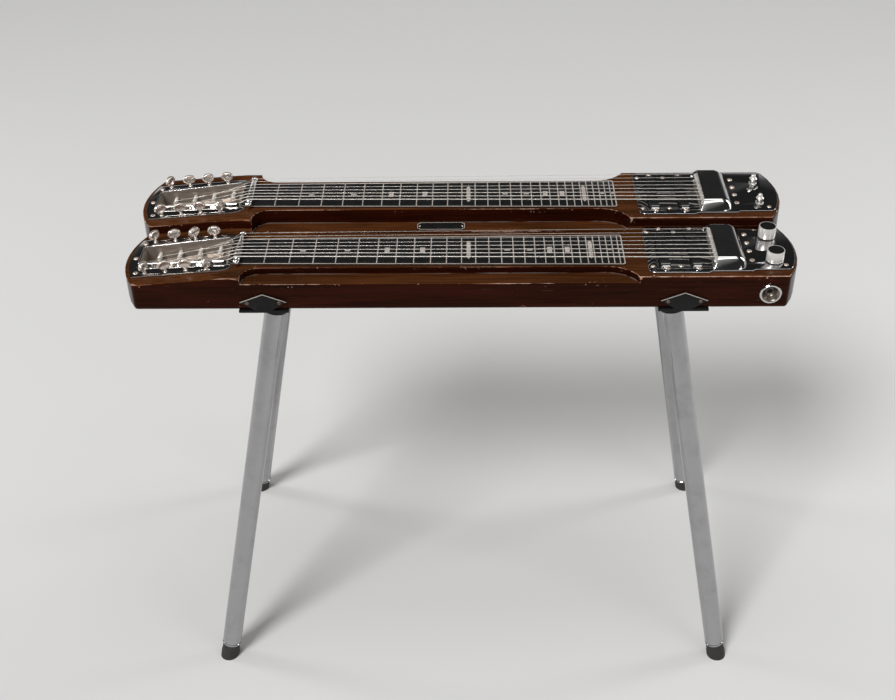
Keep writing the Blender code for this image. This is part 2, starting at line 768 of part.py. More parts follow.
def make_key_mesh():
    """One key: shaft, worm, collar and oval button, on the Z axis."""
    top = GAP + FLANGE_THICKNESS
    collar = top + GAP
    button = top + BUTTON_CENTRE_HEIGHT
    profile = [
        (0, PAN_BOTTOM_Z + GAP),
        (KEY_SHAFT_RADIUS, PAN_BOTTOM_Z + GAP),
        (KEY_SHAFT_RADIUS, collar),
        (KEY_COLLAR_RADIUS, collar),
        (KEY_COLLAR_RADIUS, collar + KEY_COLLAR_HEIGHT),
        (KEY_SHAFT_RADIUS, collar + KEY_COLLAR_HEIGHT),
        (KEY_SHAFT_RADIUS, button),
        (0, button),
    ]
    key = lathe("key", profile, KEY_SHAFT_SIDES, KEY_SHAFT_PHASE)
    worm = transform(make_worm("worm"), Matrix.Translation((0, 0, WORM_Z)))
    arc = [math.pi * k / BUTTON_RINGS for k in range(1, BUTTON_RINGS)]
    round_profile = [(0, -1), *[(math.sin(a), -math.cos(a)) for a in arc], (0, 1)]
    oval = lathe("button", round_profile, BUTTON_SIDES)
    scale = Matrix.Diagonal((BUTTON_HALF_WIDTH, BUTTON_HALF_DEPTH, BUTTON_HALF_HEIGHT, 1))
    transform(oval, Matrix.Translation((0, 0, button)) @ scale)
    join(key, worm, oval)
    mesh = key.data
    bpy.data.objects.remove(key)
    return mesh


def wheel_outline():
    """Outline of the worm wheel, with a tooth space at 180 degrees, facing the worm."""
    points = []
    for half_tooth in range(2 * WHEEL_TEETH):
        angle = math.pi + math.pi * half_tooth / WHEEL_TEETH
        radius = WHEEL_TIP_RADIUS if half_tooth % 2 else WHEEL_ROOT_RADIUS
        points.append((radius * math.cos(angle), radius * math.sin(angle)))
    return points


def make_post_mesh():
    """One string post with its worm wheel: the wheel is at the origin and the post runs along +Y."""
    half = WHEEL_THICKNESS / 2
    tip = KEY_ROW_Y - POST_TIP_FROM_CENTRE
    stub = CHANNEL_WALL_OUTER - KEY_ROW_Y - GAP
    post = prism("post", wheel_outline(), -half, half)
    profile = [
        (0, -stub),
        (POST_STUB_RADIUS, -stub),
        (POST_STUB_RADIUS, 0),
        (POST_RADIUS, 0),
        (POST_RADIUS, tip),
        (0, tip),
    ]
    join(post, lathe("shaft", profile, POST_SIDES, 0.5))
    reach = 2 * POST_RADIUS
    profile = [(0, -reach), (POST_HOLE_RADIUS, -reach), (POST_HOLE_RADIUS, reach), (0, reach)]
    hole = lathe("string_hole", profile, 4)
    transform(hole, Matrix.Translation((0, 0, tip - POST_HOLE_INSET)) @ Matrix.Rotation(math.pi / 2, 4, "X"))
    cut(post, hole)
    along_y(post, 0, 0, 0)
    mesh = post.data
    bpy.data.objects.remove(post)
    return mesh


def linked_object(name, mesh):
    """Make an object that shares a mesh."""
    obj = bpy.data.objects.new(name, mesh)
    bpy.context.scene.collection.objects.link(obj)
    return obj


def make_tuners(neck, parent, key_mesh, post_mesh, key_material, post_material):
    """Eight keys with their posts, each wheel turned so that it meshes with its worm."""
    for row, side in enumerate((-1, 1)):
        for index in range(KEYS_PER_ROW):
            number = row * KEYS_PER_ROW + index + 1
            turn = math.radians(neck.turns[number - 1])
            place = Vector((key_x(index), side * KEY_ROW_Y, 0))
            key = linked_object(f"{neck.name}_key_{number}", key_mesh)
            finish(key, key_material, location=place, parent=parent, rotation=(0, 0, turn))
            post = linked_object(f"{neck.name}_post_{number}", post_mesh)
            wheel = place + Vector((WORM_TO_WHEEL, 0, WORM_Z))
            flip = 0 if side < 0 else math.pi
            spin = -turn / WHEEL_TEETH
            finish(post, post_material, location=wheel, parent=parent)
            matrix = Matrix.Rotation(spin, 4, "Y") @ Matrix.Rotation(flip, 4, "X")
            post.rotation_euler = matrix.to_euler()


# Strings and bridge

def string_z(radius):
    """Height of a string's centre over the nut and the bridge."""
    return nut_centre_z() + NUT_RADIUS + GAP + radius


def string_path(order, radius):
    """Points of one string from its anchor over the bridge and the nut to its post."""
    last = len(STRING_RADII) - 1
    spread = order / last - 0.5
    side = -1 if spread < 0 else 1
    inward = order if side < 0 else last - order
    post_index = KEYS_PER_ROW - 1 - inward
    post_y = side * STRING_AT_POST[inward]
    nut_y = spread * STRING_SPREAD_NUT
    bridge_y = spread * STRING_SPREAD_BRIDGE
    z = string_z(radius)
    lift = WORM_Z + POST_RADIUS + GAP + radius
    post_x, post_z = head_point(key_x(post_index) + WORM_TO_WHEEL, lift)
    anchor_z = GAP + PLATE_THICKNESS + GAP + ANCHOR_HEIGHT - ANCHOR_HOOK_DEPTH
    fall = math.atan2(z - post_z, NUT_X - post_x)
    bend_x = NUT_X - (NUT_RADIUS + GAP + 2 * radius) * math.tan(fall / 2)
    return [
        (ANCHOR_X, bridge_y, anchor_z),
        (BRIDGE_X, bridge_y, z),
        (bend_x, nut_y, z),
        (post_x, post_y, post_z),
    ]


def make_bridge_and_strings(neck, material):
    """The bridge bar on its feet, the anchor strip, and the eight strings hooked in it."""
    base = GAP + PLATE_THICKNESS + GAP
    thickest = max(STRING_RADII)
    bar_z = string_z(thickest) - thickest - BRIDGE_BAR_RADIUS + STRING_BITE
    half = BRIDGE_BAR_LENGTH / 2
    bar = lathe(f"{neck.name}_bridge_and_strings", [
        (0, -half),
        (BRIDGE_BAR_RADIUS, -half),
        (BRIDGE_BAR_RADIUS, half),
        (0, half),
    ], BRIDGE_BAR_SIDES)
    along_y(bar, BRIDGE_X, 0, bar_z)
    size = BRIDGE_FOOT_SIZE / 2
    parts = []
    for side in (-1, 1):
        y = side * BRIDGE_FOOT_Y
        parts.append(box("foot", (BRIDGE_X - size, BRIDGE_X + size), (y - size, y + size), (base, bar_z)))
    thick = ANCHOR_THICKNESS / 2
    reach = ANCHOR_LENGTH / 2
    heights = (base, base + ANCHOR_HEIGHT)
    parts.append(box("anchor", (ANCHOR_X - thick, ANCHOR_X + thick), (-reach, reach), heights))
    for order, radius in enumerate(STRING_RADII):
        parts.append(tube(f"string_{order}", string_path(order, radius), radius, STRING_SIDES))
    join(bar, *parts)
    return finish(bar, material, location=(0, neck.y, neck.top))


# Control plate, pickups and bridge cover

def tail_corner(half):
    """Round corner between a plate's long edge at y = half and its curved tail end."""
    radius = PLATE_CORNER_RADIUS
    bend = end_radius() - radius
    rise = half - radius
    run = math.sqrt(bend * bend - rise * rise)
    centre = (CORNER_X + END_BULGE - PLATE_END_INSET - end_radius() + run, rise)
    start = math.degrees(math.atan2(rise, run))
    return round_corner(centre, radius, start, 90, CORNER_STEPS)


def plate_outline():
    """Outline of the control plate: stepped on the player's side, following the plank's end."""
    radius = PLATE_CORNER_RADIUS
    wide = PLATE_HALF_WIDE
    left = PLATE_LEFT_X + radius
    half_run = PLATE_STEP_RUN / 2
    near = [(x, -y) for x, y in reversed(tail_corner(PLATE_HALF_NARROW))]
    far = tail_corner(wide)
    low, high = near[-1][1], far[0][1]
    rows = [low + (high - low) * k / PLATE_END_STEPS for k in range(1, PLATE_END_STEPS)]
    middle = PLATE_HALF_MIDDLE
    points = round_corner((left, -wide + radius), radius, 180, 270, CORNER_STEPS)
    points += [(PLATE_STEP_ONE_X - half_run, -wide), (PLATE_STEP_ONE_X + half_run, -middle)]
    points += [(PLATE_STEP_TWO_X - half_run, -middle), (PLATE_STEP_TWO_X + half_run, -PLATE_HALF_NARROW)]
    points += near + [(end_x(y, PLATE_END_INSET), y) for y in rows] + far
    points += round_corner((left, wide - radius), radius, 90, 180, CORNER_STEPS)
    return points


def make_plate(neck, material):
    """The control plate with its pickup slots and the bodies of its controls underneath."""
    low = GAP
    high = GAP + PLATE_THICKNESS
    plate = prism(f"{neck.name}_control_plate", plate_outline(), low, high)
    under = low + PLATE_THICKNESS / 2
    if neck is FRONT:
        radius, depth, x, y = POT_RADIUS, POT_DEPTH, KNOB_X, KNOB_Y
        bore = (KNOB_SHAFT_RADIUS + GAP) / math.cos(math.pi / CONTROL_SIDES)
        bottom = -KNOB_SHAFT_DEPTH - GAP
        hole = [(0, bottom), (bore, bottom), (bore, CUT_REACH), (0, CUT_REACH)]
    else:
        radius, depth, x, y = SWITCH_BODY_RADIUS, SWITCH_BODY_DEPTH, SWITCH_X, SWITCH_Y
        bore = SWITCH_PIVOT_RADIUS + 2 * GAP
        bottom = SWITCH_PIVOT_Z - bore
        mouth = SWITCH_MOUTH_RADIUS
        hole = [(0, bottom), (bore, bottom), (bore, SWITCH_PIVOT_Z + SWITCH_SOCKET_RISE)]
        hole += [(mouth, high), (mouth, CUT_REACH), (0, CUT_REACH)]
    bodies = []
    bores = []
    for side in (-1, 1):
        move = Matrix.Translation((x, side * y, 0))
        profile = [(0, -depth), (radius, -depth), (radius, under), (0, under)]
        bodies.append(transform(lathe("control_body", profile, CONTROL_SIDES, 0.5), move))
        bores.append(transform(lathe("control_bore", hole, CONTROL_SIDES), move))
    join(plate, *bodies)
    half = PICKUP_LENGTH / 2 + PICKUP_SLOT_CLEARANCE
    reach = PICKUP_WIDTH / 2 + PICKUP_SLOT_CLEARANCE
    for centre in PICKUP_CENTRES_X:
        bores.append(box("slot", (centre - reach, centre + reach), (-half, half), (-CUT_REACH, CUT_REACH)))
    cut(plate, *bores)
    return finish(plate, material, location=(0, neck.y, neck.top))


def coil_outline(centre):
    """Outline of one pickup seen from above, with round corners."""
    radius = PICKUP_CORNER_RADIUS
    across = PICKUP_WIDTH / 2 - radius
    along = PICKUP_LENGTH / 2 - radius
    points = []
    corners = ((across, along), (-across, along), (-across, -along), (across, -along))
    for quarter, (x, y) in enumerate(corners):
        start = 90 * quarter
        points += round_corner((centre + x, y), radius, start, start + 90, PICKUP_CORNER_STEPS)
    return points


def pickup_bracket(centre, side):
    """Flat ear for the end screw and upright cheek at one end of a pickup."""
    low = GAP + PLATE_THICKNESS + GAP
    end = PICKUP_LENGTH / 2
    start = end - EAR_BITE
    tip = round_corner((centre, end + EAR_LENGTH - EAR_HALF_WIDTH), EAR_HALF_WIDTH, 0, 180, EAR_STEPS)
    outline = [(centre + EAR_HALF_WIDTH, start), *tip, (centre - EAR_HALF_WIDTH, start)]
    ear = prism("ear", [(x, side * y) for x, y in outline], low, low + EAR_THICKNESS)
    rows = sorted((side * (end - CHEEK_THICKNESS / 2), side * (end + CHEEK_THICKNESS)))
    sides = (centre - PICKUP_WIDTH / 2, centre + PICKUP_WIDTH / 2)
    cheek = box("cheek", sides, rows, (low, GAP + PLATE_THICKNESS + CHEEK_HEIGHT))
    return [ear, cheek]


def make_pickups(neck, material):
    """The two narrow pickups on the carrier that holds them, with their end brackets."""
    first, last = PICKUP_CENTRES_X
    half = PICKUP_LENGTH / 2
    over = PICKUP_WIDTH / 2 + CARRIER_OVERHANG
    floor = -PICKUP_DEPTH - CARRIER_THICKNESS
    pair = box(f"{neck.name}_pickups", (first - over, last + over), (-half, half), (floor, -PICKUP_DEPTH))
    parts = []
    for centre in PICKUP_CENTRES_X:
        parts.append(prism("coil", coil_outline(centre), -PICKUP_DEPTH - CARRIER_THICKNESS / 2, PICKUP_TOP))
        for side in (-1, 1):
            parts += pickup_bracket(centre, side)
    join(pair, *parts)
    return finish(pair, material, location=(0, neck.y, neck.top))


def cover_row(lift, wall, left):
    """Row of the cover's shell: lift runs from 0 at the base to a quarter turn at the top."""
    base = GAP + PLATE_THICKNESS + GAP
    rise = math.sin(lift)
    run = math.cos(lift)
    corner = COVER_TOP_CORNER + (COVER_BASE_CORNER - COVER_TOP_CORNER) * run - wall
    half = COVER_BASE_HALF + (COVER_TOP_HALF - COVER_BASE_HALF) * rise - wall
    right = COVER_ROLL_X + (COVER_ROLL_RUN - wall) * run
    outline = [(left, -half)]
    outline += round_corner((right - corner, -half + corner), corner, -90, 0, CORNER_STEPS)
    outline += round_corner((right - corner, half - corner), corner, 0, 90, CORNER_STEPS)
    outline.append((left, half))
    return at_height(outline, base + (COVER_TOP_Z - wall - base) * rise)


def make_cover(neck, material):
    """The pressed cover: a thin shell over the bridge, open towards the strings."""
    lean = COVER_TOP_LEFT_X - COVER_BASE_LEFT_X
    opened = COVER_BASE_LEFT_X - CUT_REACH
    lifts = [math.pi / 2 * k / COVER_STEPS for k in range(COVER_STEPS + 1)]
    shell = [cover_row(lift, 0.0, COVER_BASE_LEFT_X + lean * math.sin(lift)) for lift in lifts]
    inside = [cover_row(lift, COVER_WALL, opened) for lift in lifts]
    below = [(x, y, z - CUT_REACH) for x, y, z in inside[0]]
    cover = loft(f"{neck.name}_bridge_cover", shell)
    cut(cover, loft("hollow", [below, *inside]))
    return finish(cover, material, location=(0, neck.y, neck.top))


# Knobs, switches and jack

def make_knob(name, side, material):
    """A plain turned knob with its shaft, which runs in the potentiometer's bush."""
    base = GAP + PLATE_THICKNESS + KNOB_LIFT
    top = base + KNOB_HEIGHT
    profile = [
        (0, -KNOB_SHAFT_DEPTH),
        (KNOB_SHAFT_RADIUS, -KNOB_SHAFT_DEPTH),
        (KNOB_SHAFT_RADIUS, base),
        (KNOB_RADIUS, base),
        (KNOB_RADIUS, top - KNOB_EDGE),
        (KNOB_RADIUS - KNOB_EDGE, top),
        (0, top),
    ]
    knob = lathe(name, profile, KNOB_SIDES)
    return finish(knob, material, location=(KNOB_X, FRONT.y + side * KNOB_Y, FRONT.top))


def make_switch(name, side, material):
    """A toggle: pivot ball, thin stem and bell-shaped knob; the origin is the pivot."""
    plate = GAP + PLATE_THICKNESS - SWITCH_PIVOT_Z
    ball = SWITCH_PIVOT_RADIUS
    flare = BELL_RADIUS - BELL_WAIST_RADIUS
    profile = [(ball * math.sin(a), -ball * math.cos(a)) for a in SWITCH_PIVOT_ANGLES]
    profile += [(SWITCH_STEM_RADIUS, ball), (SWITCH_STEM_RADIUS, plate + BELL_LOW)]
    profile.append((BELL_RADIUS, plate + BELL_LOW))
    for step in range(BELL_STEPS + 1):
        share = step / BELL_STEPS
        height = BELL_SKIRT_TOP + (BELL_SHOULDER - BELL_SKIRT_TOP) * share
        profile.append((BELL_WAIST_RADIUS + flare * (1 - share) ** 2, plate + height))
    slant = math.sin(math.pi / 4)
    profile.append((BELL_WAIST_RADIUS * slant, plate + BELL_SHOULDER + (BELL_TOP - BELL_SHOULDER) * slant))
    profile.append((0, plate + BELL_TOP))
    lever = lathe(name, profile, SWITCH_SIDES)
    return finish(lever, material, location=(SWITCH_X, REAR.y + side * SWITCH_Y, REAR.top + SWITCH_PIVOT_Z))


def make_jack(material):
    """The recessed cup on the front apron with the socket's barrel behind it."""
    rim = -GAP - JACK_RIM_THICKNESS
    outer_cup = JACK_CUP_RADIUS + JACK_WALL
    outer_floor = JACK_FLOOR_RADIUS + JACK_WALL
    profile = [
        (JACK_BORE_RADIUS, JACK_DEPTH),
        (JACK_BORE_RADIUS, JACK_CUP_DEPTH),
        (JACK_FLOOR_RADIUS, JACK_CUP_DEPTH),
        (JACK_CUP_RADIUS, rim),
        (JACK_RIM_RADIUS, rim),
        (JACK_RIM_RADIUS, -GAP),
        (outer_cup, -GAP),
        (outer_floor, JACK_CUP_DEPTH + JACK_WALL),
        (JACK_BARREL_RADIUS, JACK_CUP_DEPTH + JACK_WALL),
        (JACK_BARREL_RADIUS, JACK_DEPTH),
        (JACK_BORE_RADIUS, JACK_DEPTH),
    ]
    jack = lathe("jack_cup", profile, JACK_SIDES, 0.5)
    builder = bmesh.new()
    builder.from_mesh(jack.data)
    bmesh.ops.remove_doubles(builder, verts=builder.verts, dist=GAP / 100)
    bmesh.ops.recalc_face_normals(builder, faces=builder.faces)
    builder.to_mesh(jack.data)
    builder.free()
    along_y(jack, 0, 0, 0)
    return finish(jack, material, location=(JACK_X, FRONT.y - PLANK_WIDTH / 2, JACK_Z))


# Leg rails and legs

def leg_axis(end, side):
    """Top point of a leg on the planks' underside, and its direction down to the floor."""
    top = Vector((LEG_TOPS_X[end], side * LEG_TOP_Y, UNDERSIDE_Z))
    foot = Vector((LEG_FEET_X[end], side * LEG_FOOT_Y, 0))
    return top, (foot - top).normalized()


def leg_matrix(end, side):
    """Frame of a leg: its -Z axis runs down the leg from the underside."""
    top, direction = leg_axis(end, side)
    turn = Vector((0, 0, -1)).rotation_difference(direction).to_matrix().to_4x4()
    return Matrix.Translation(top) @ turn


def kite_outline():
    """The kite that covers the apron above a leg, with its foot on the rail."""
    half = KITE_WIDTH / 2
    foot = KITE_FOOT_WIDTH / 2
    low = -GAP - RAIL_THICKNESS
    right = [(foot, low), (foot, 0.0), (half, KITE_TIP)]
    left = [(-x, z) for x, z in reversed(right)]
    return [*right, (0, KITE_PEAK), *left]


def make_rail(name, end, material):
    """The strap under both planks, its turned-up kites and the two leg sockets."""
    centre = RAIL_CENTRES_X[end]
    high = UNDERSIDE_Z - GAP
    low = high - RAIL_THICKNESS
    apron = PLANK_WIDTH + PLANK_SPACING / 2 + GAP
    reach = apron + KITE_THICKNESS
    half = RAIL_WIDTH / 2
    rail = box(name, (centre - half, centre + half), (-reach, reach), (low, high))
    parts = []
    for side in (-1, 1):
        kite = prism("kite", kite_outline(), 0, KITE_THICKNESS)
        transform(kite, Matrix.Rotation(math.pi / 2, 4, "X"))
        y = side * apron + (KITE_THICKNESS if side > 0 else 0)
        parts.append(transform(kite, Matrix.Translation((centre, y, UNDERSIDE_Z))))
        socket = lathe("socket", [
            (0, -SOCKET_LENGTH),
            (SOCKET_RADIUS, -SOCKET_LENGTH),
            (SOCKET_RADIUS, CUT_REACH),
            (0, CUT_REACH),
        ], SOCKET_SIDES)
        transform(socket, leg_matrix(end, side))
        heights = ((low + high) / 2, high + 2 * CUT_REACH)
        cut(socket, box("above", (centre - RAIL_WIDTH, centre + RAIL_WIDTH), (-2 * reach, 2 * reach), heights))
        parts.append(socket)
    join(rail, *parts)
    bores = []
    for side in (-1, 1):
        hole = round_hole("stud_bore", STUD_RADIUS, -2 * SOCKET_LENGTH, SOCKET_LENGTH, LEG_SIDES)
        bores.append(transform(hole, leg_matrix(end, side)))
    cut(rail, *bores)
    return finish(rail, material)


def make_leg(name, end, side, material):
    """A tubular leg: threaded stud, tube, ring and a rubber foot cut level with the floor."""
    direction = leg_axis(end, side)[1]
    length = UNDERSIDE_Z / -direction.z
    start = SOCKET_LENGTH + GAP
    ring = length - FOOT_RING_HEIGHT
    profile = [
        (0, -length),
        (FOOT_RADIUS + FOOT_FLARE, -length),
        (FOOT_RADIUS + FOOT_FLARE, -length + FOOT_FLARE_HEIGHT),
        (FOOT_RADIUS, -ring),
        (LEG_RADIUS, -ring),
        (LEG_RADIUS, -start),
        (STUD_RADIUS, -start),
        (STUD_RADIUS, -STUD_START),
        (0, -STUD_START),
    ]
    leg = lathe(name, profile, LEG_SIDES, 0.5)
    matrix = leg_matrix(end, side)
    for vertex in leg.data.vertices:
        if vertex.co.z < -length + FOOT_FLARE_HEIGHT / 2:
            vertex.co.z += (matrix @ vertex.co).z / direction.z
    finish(leg, material)
    leg.matrix_world = matrix
    return leg


def main():
    """Build every part in its place."""
    clear_scene()
    stain = principled("stained_wood", (0.10, 0.022, 0.008), 0.22, 0.0)
    board = principled("printed_plate", (0.012, 0.012, 0.013), 0.35, 0.0)
    chrome = principled("bright_chrome", (0.62, 0.61, 0.60), 0.10, 1.0)
    mirror = principled("mirror_plate", (0.30, 0.30, 0.31), 0.08, 1.0)
    nickel = principled("nickel_buttons", (0.66, 0.62, 0.56), 0.22, 1.0)
    steel = principled("string_steel", (0.60, 0.58, 0.54), 0.30, 1.0)
    black = principled("black_enamel", (0.010, 0.010, 0.010), 0.40, 0.0)
    key_mesh = make_key_mesh()
    post_mesh = make_post_mesh()
    for neck in (FRONT, REAR):
        make_plank(neck, stain)
        make_fretboard(neck, board)
        make_nut(neck, chrome)
        head = empty(f"{neck.name}_head", (HEAD_HINGE_X, neck.y, neck.top), (0, -HEAD_SLOPE, 0))
        make_pan(neck, head, mirror)
        make_tuners(neck, head, key_mesh, post_mesh, nickel, chrome)
        make_plate(neck, mirror)
        make_pickups(neck, black)
        make_bridge_and_strings(neck, steel)
        make_cover(neck, chrome)
    make_knob("volume_knob", 1, chrome)
    make_knob("tone_knob", -1, chrome)
    make_switch("pickup_switch", -1, chrome)
    make_switch("neck_switch", 1, chrome)
    make_jack(chrome)
    for end, word in enumerate(("left", "right")):
        make_rail(f"{word}_leg_rail", end, black)
        for side, place in ((-1, "front"), (1, "rear")):
            make_leg(f"{place}_{word}_leg", end, side, chrome)


main()
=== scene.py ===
"""Looks of a double-neck lap steel guitar on four legs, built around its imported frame.

Places and sizes are in metres, in the frame's axes: X along the strings from the tuning keys to
the controls, Y from the player's side to the rear neck, and Z up from the floor.
"""

import json
import logging
import math
from dataclasses import dataclass
from enum import Enum
from functools import lru_cache
from typing import Any, Iterable, Sequence

import bmesh
import bpy
from mathutils import Matrix, Vector
from mathutils.kdtree import KDTree

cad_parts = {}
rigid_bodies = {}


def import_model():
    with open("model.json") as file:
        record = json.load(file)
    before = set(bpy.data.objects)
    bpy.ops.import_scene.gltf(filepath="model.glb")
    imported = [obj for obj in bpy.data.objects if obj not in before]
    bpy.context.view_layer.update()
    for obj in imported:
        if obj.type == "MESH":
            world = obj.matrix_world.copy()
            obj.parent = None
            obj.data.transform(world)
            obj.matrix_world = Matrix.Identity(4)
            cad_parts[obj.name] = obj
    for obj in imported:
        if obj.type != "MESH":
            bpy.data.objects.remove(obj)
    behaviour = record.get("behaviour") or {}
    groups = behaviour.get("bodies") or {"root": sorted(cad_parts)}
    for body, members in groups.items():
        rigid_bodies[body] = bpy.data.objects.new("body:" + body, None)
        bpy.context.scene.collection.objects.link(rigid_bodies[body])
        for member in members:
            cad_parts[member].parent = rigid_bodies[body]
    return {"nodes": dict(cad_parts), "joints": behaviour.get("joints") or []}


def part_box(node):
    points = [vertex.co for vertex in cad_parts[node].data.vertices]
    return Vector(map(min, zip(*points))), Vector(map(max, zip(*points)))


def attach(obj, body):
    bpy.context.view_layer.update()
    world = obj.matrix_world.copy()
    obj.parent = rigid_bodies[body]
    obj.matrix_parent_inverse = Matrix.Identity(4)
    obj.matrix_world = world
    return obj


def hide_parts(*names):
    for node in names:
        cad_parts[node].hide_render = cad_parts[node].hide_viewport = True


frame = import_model()

LOG = logging.getLogger("lap_steel")
IMAGE_SIZE = (895, 700)
CONSOLE = "console"

Colour = tuple[float, float, float]
Place = tuple[float, float, float]
Outline = list[tuple[float, float]]


class Slot(Enum):
    """Names of the record's material slots; the pieces take their finish from the Finish objects, not from these."""

    WOOD = "stained_wood"
    PRINTED = "printed_plate"
    BUTTONS = "nickel_buttons"
    POSTS = "post_steel"
    PICKUPS = "pickup_black"
    STRINGS = "string_steel"
    ENAMEL = "black_enamel"
    MIRROR = "mirror_plate"
    CHROME = "bright_chrome"


class Marker(Enum):
    """Shapes of the position marks on the fret plate, as half sizes along X and Y."""

    BAR = (0.0034, 0.0017)
    SQUARE = (0.0030, 0.0062)
    LOZENGE = (0.0025, 0.0205)


# Node graphs of the materials

class Graph:
    """The node tree of one material, with short calls for the nodes that the finishes share."""

    def __init__(self, name: str) -> None:
        """Start a Principled material of that name."""
        self.material = bpy.data.materials.new(name)
        self.material.use_nodes = True
        self.tree = self.material.node_tree
        self.shader = self.tree.nodes["Principled BSDF"]
        self.place = self.node("ShaderNodeTexCoord").outputs["Object"]

    def put(self, socket: bpy.types.NodeSocket, value: Any) -> None:
        """Link a socket to another, or set its value."""
        if isinstance(value, bpy.types.NodeSocket):
            self.tree.links.new(value, socket)
        elif isinstance(value, tuple) and len(value) == 3 and socket.type == "RGBA":
            socket.default_value = (*value, 1.0)
        else:
            socket.default_value = value

    def node(self, kind: str, values: dict[Any, Any] | None = None, **settings: Any) -> bpy.types.Node:
        """Add a node.

        Args:
            kind: the node's type.
            values: values or sockets for its inputs, by name or index.
            settings: properties of the node.

        Returns:
            The new node.
        """
        made = self.tree.nodes.new(kind)
        for key, value in settings.items():
            setattr(made, key, value)
        for key, value in (values or {}).items():
            self.put(made.inputs[key], value)
        return made

    def set(self, **values: Any) -> None:
        """Set or link the shader's own sockets, with underscores for the spaces in their names."""
        for key, value in values.items():
            self.put(self.shader.inputs[key.replace("_", " ")], value)

    def stretch(self, scale: Place, turn: Place = (0.0, 0.0, 0.0)) -> bpy.types.NodeSocket:
        """Object coordinates, turned and then scaled along each axis."""
        mapping = self.node("ShaderNodeMapping", {"Vector": self.place, "Scale": scale, "Rotation": turn})
        return mapping.outputs["Vector"]

    def noise(self, vector: bpy.types.NodeSocket, scale: float, detail: float = 4.0,
              rough: float = 0.55, warp: float = 0.0) -> bpy.types.NodeSocket:
        """A noise value about 0.5."""
        values = {"Vector": vector, "Scale": scale, "Detail": detail, "Roughness": rough, "Distortion": warp}
        return self.node("ShaderNodeTexNoise", values).outputs["Fac"]

    def specks(self, vector: bpy.types.NodeSocket, scale: float) -> bpy.types.NodeSocket:
        """Distance to the nearest of many scattered points."""
        return self.node("ShaderNodeTexVoronoi", {"Vector": vector, "Scale": scale}).outputs["Distance"]

    def math(self, operation: str, first: Any, second: Any = 0.0) -> bpy.types.NodeSocket:
        """One sum, by the operation's name."""
        return self.node("ShaderNodeMath", {0: first, 1: second}, operation=operation).outputs[0]

    def band(self, value: Any, low: float, high: float, start: float = 0.0, end: float = 1.0
             ) -> bpy.types.NodeSocket:
        """Carry a value smoothly from start at low to end at high."""
        values = {"Value": value, "From Min": low, "From Max": high, "To Min": start, "To Max": end}
        made = self.node("ShaderNodeMapRange", values, interpolation_type="SMOOTHSTEP")
        return made.outputs["Result"]

    def mix(self, share: Any, first: Any, second: Any) -> bpy.types.NodeSocket:
        """Mix two colours."""
        made = self.node("ShaderNodeMix", data_type="RGBA")
        self.put(made.inputs["Factor"], share)
        self.put(made.inputs[6], first)
        self.put(made.inputs[7], second)
        return made.outputs[2]

    def bump(self, height: Any, strength: float, distance: float, under: Any = None) -> bpy.types.NodeSocket:
        """A bumped normal, over another one where that is given."""
        made = self.node("ShaderNodeBump", {"Height": height, "Strength": strength, "Distance": distance})
        if under is not None:
            self.put(made.inputs["Normal"], under)
        return made.outputs["Normal"]

    def attribute(self, name: str) -> bpy.types.NodeSocket:
        """A mesh attribute's value."""
        return self.node("ShaderNodeAttribute", attribute_name=name).outputs["Fac"]


def shade(colour: Colour, share: float) -> Colour:
    """A colour made lighter or darker by a share."""
    return (colour[0] * share, colour[1] * share, colour[2] * share)


@dataclass(frozen=True)
class Finish:
    """A finish: what a surface is made of and how it has worn."""

    name: str

    def build(self) -> bpy.types.Material:
        """Make the material."""
        raise NotImplementedError


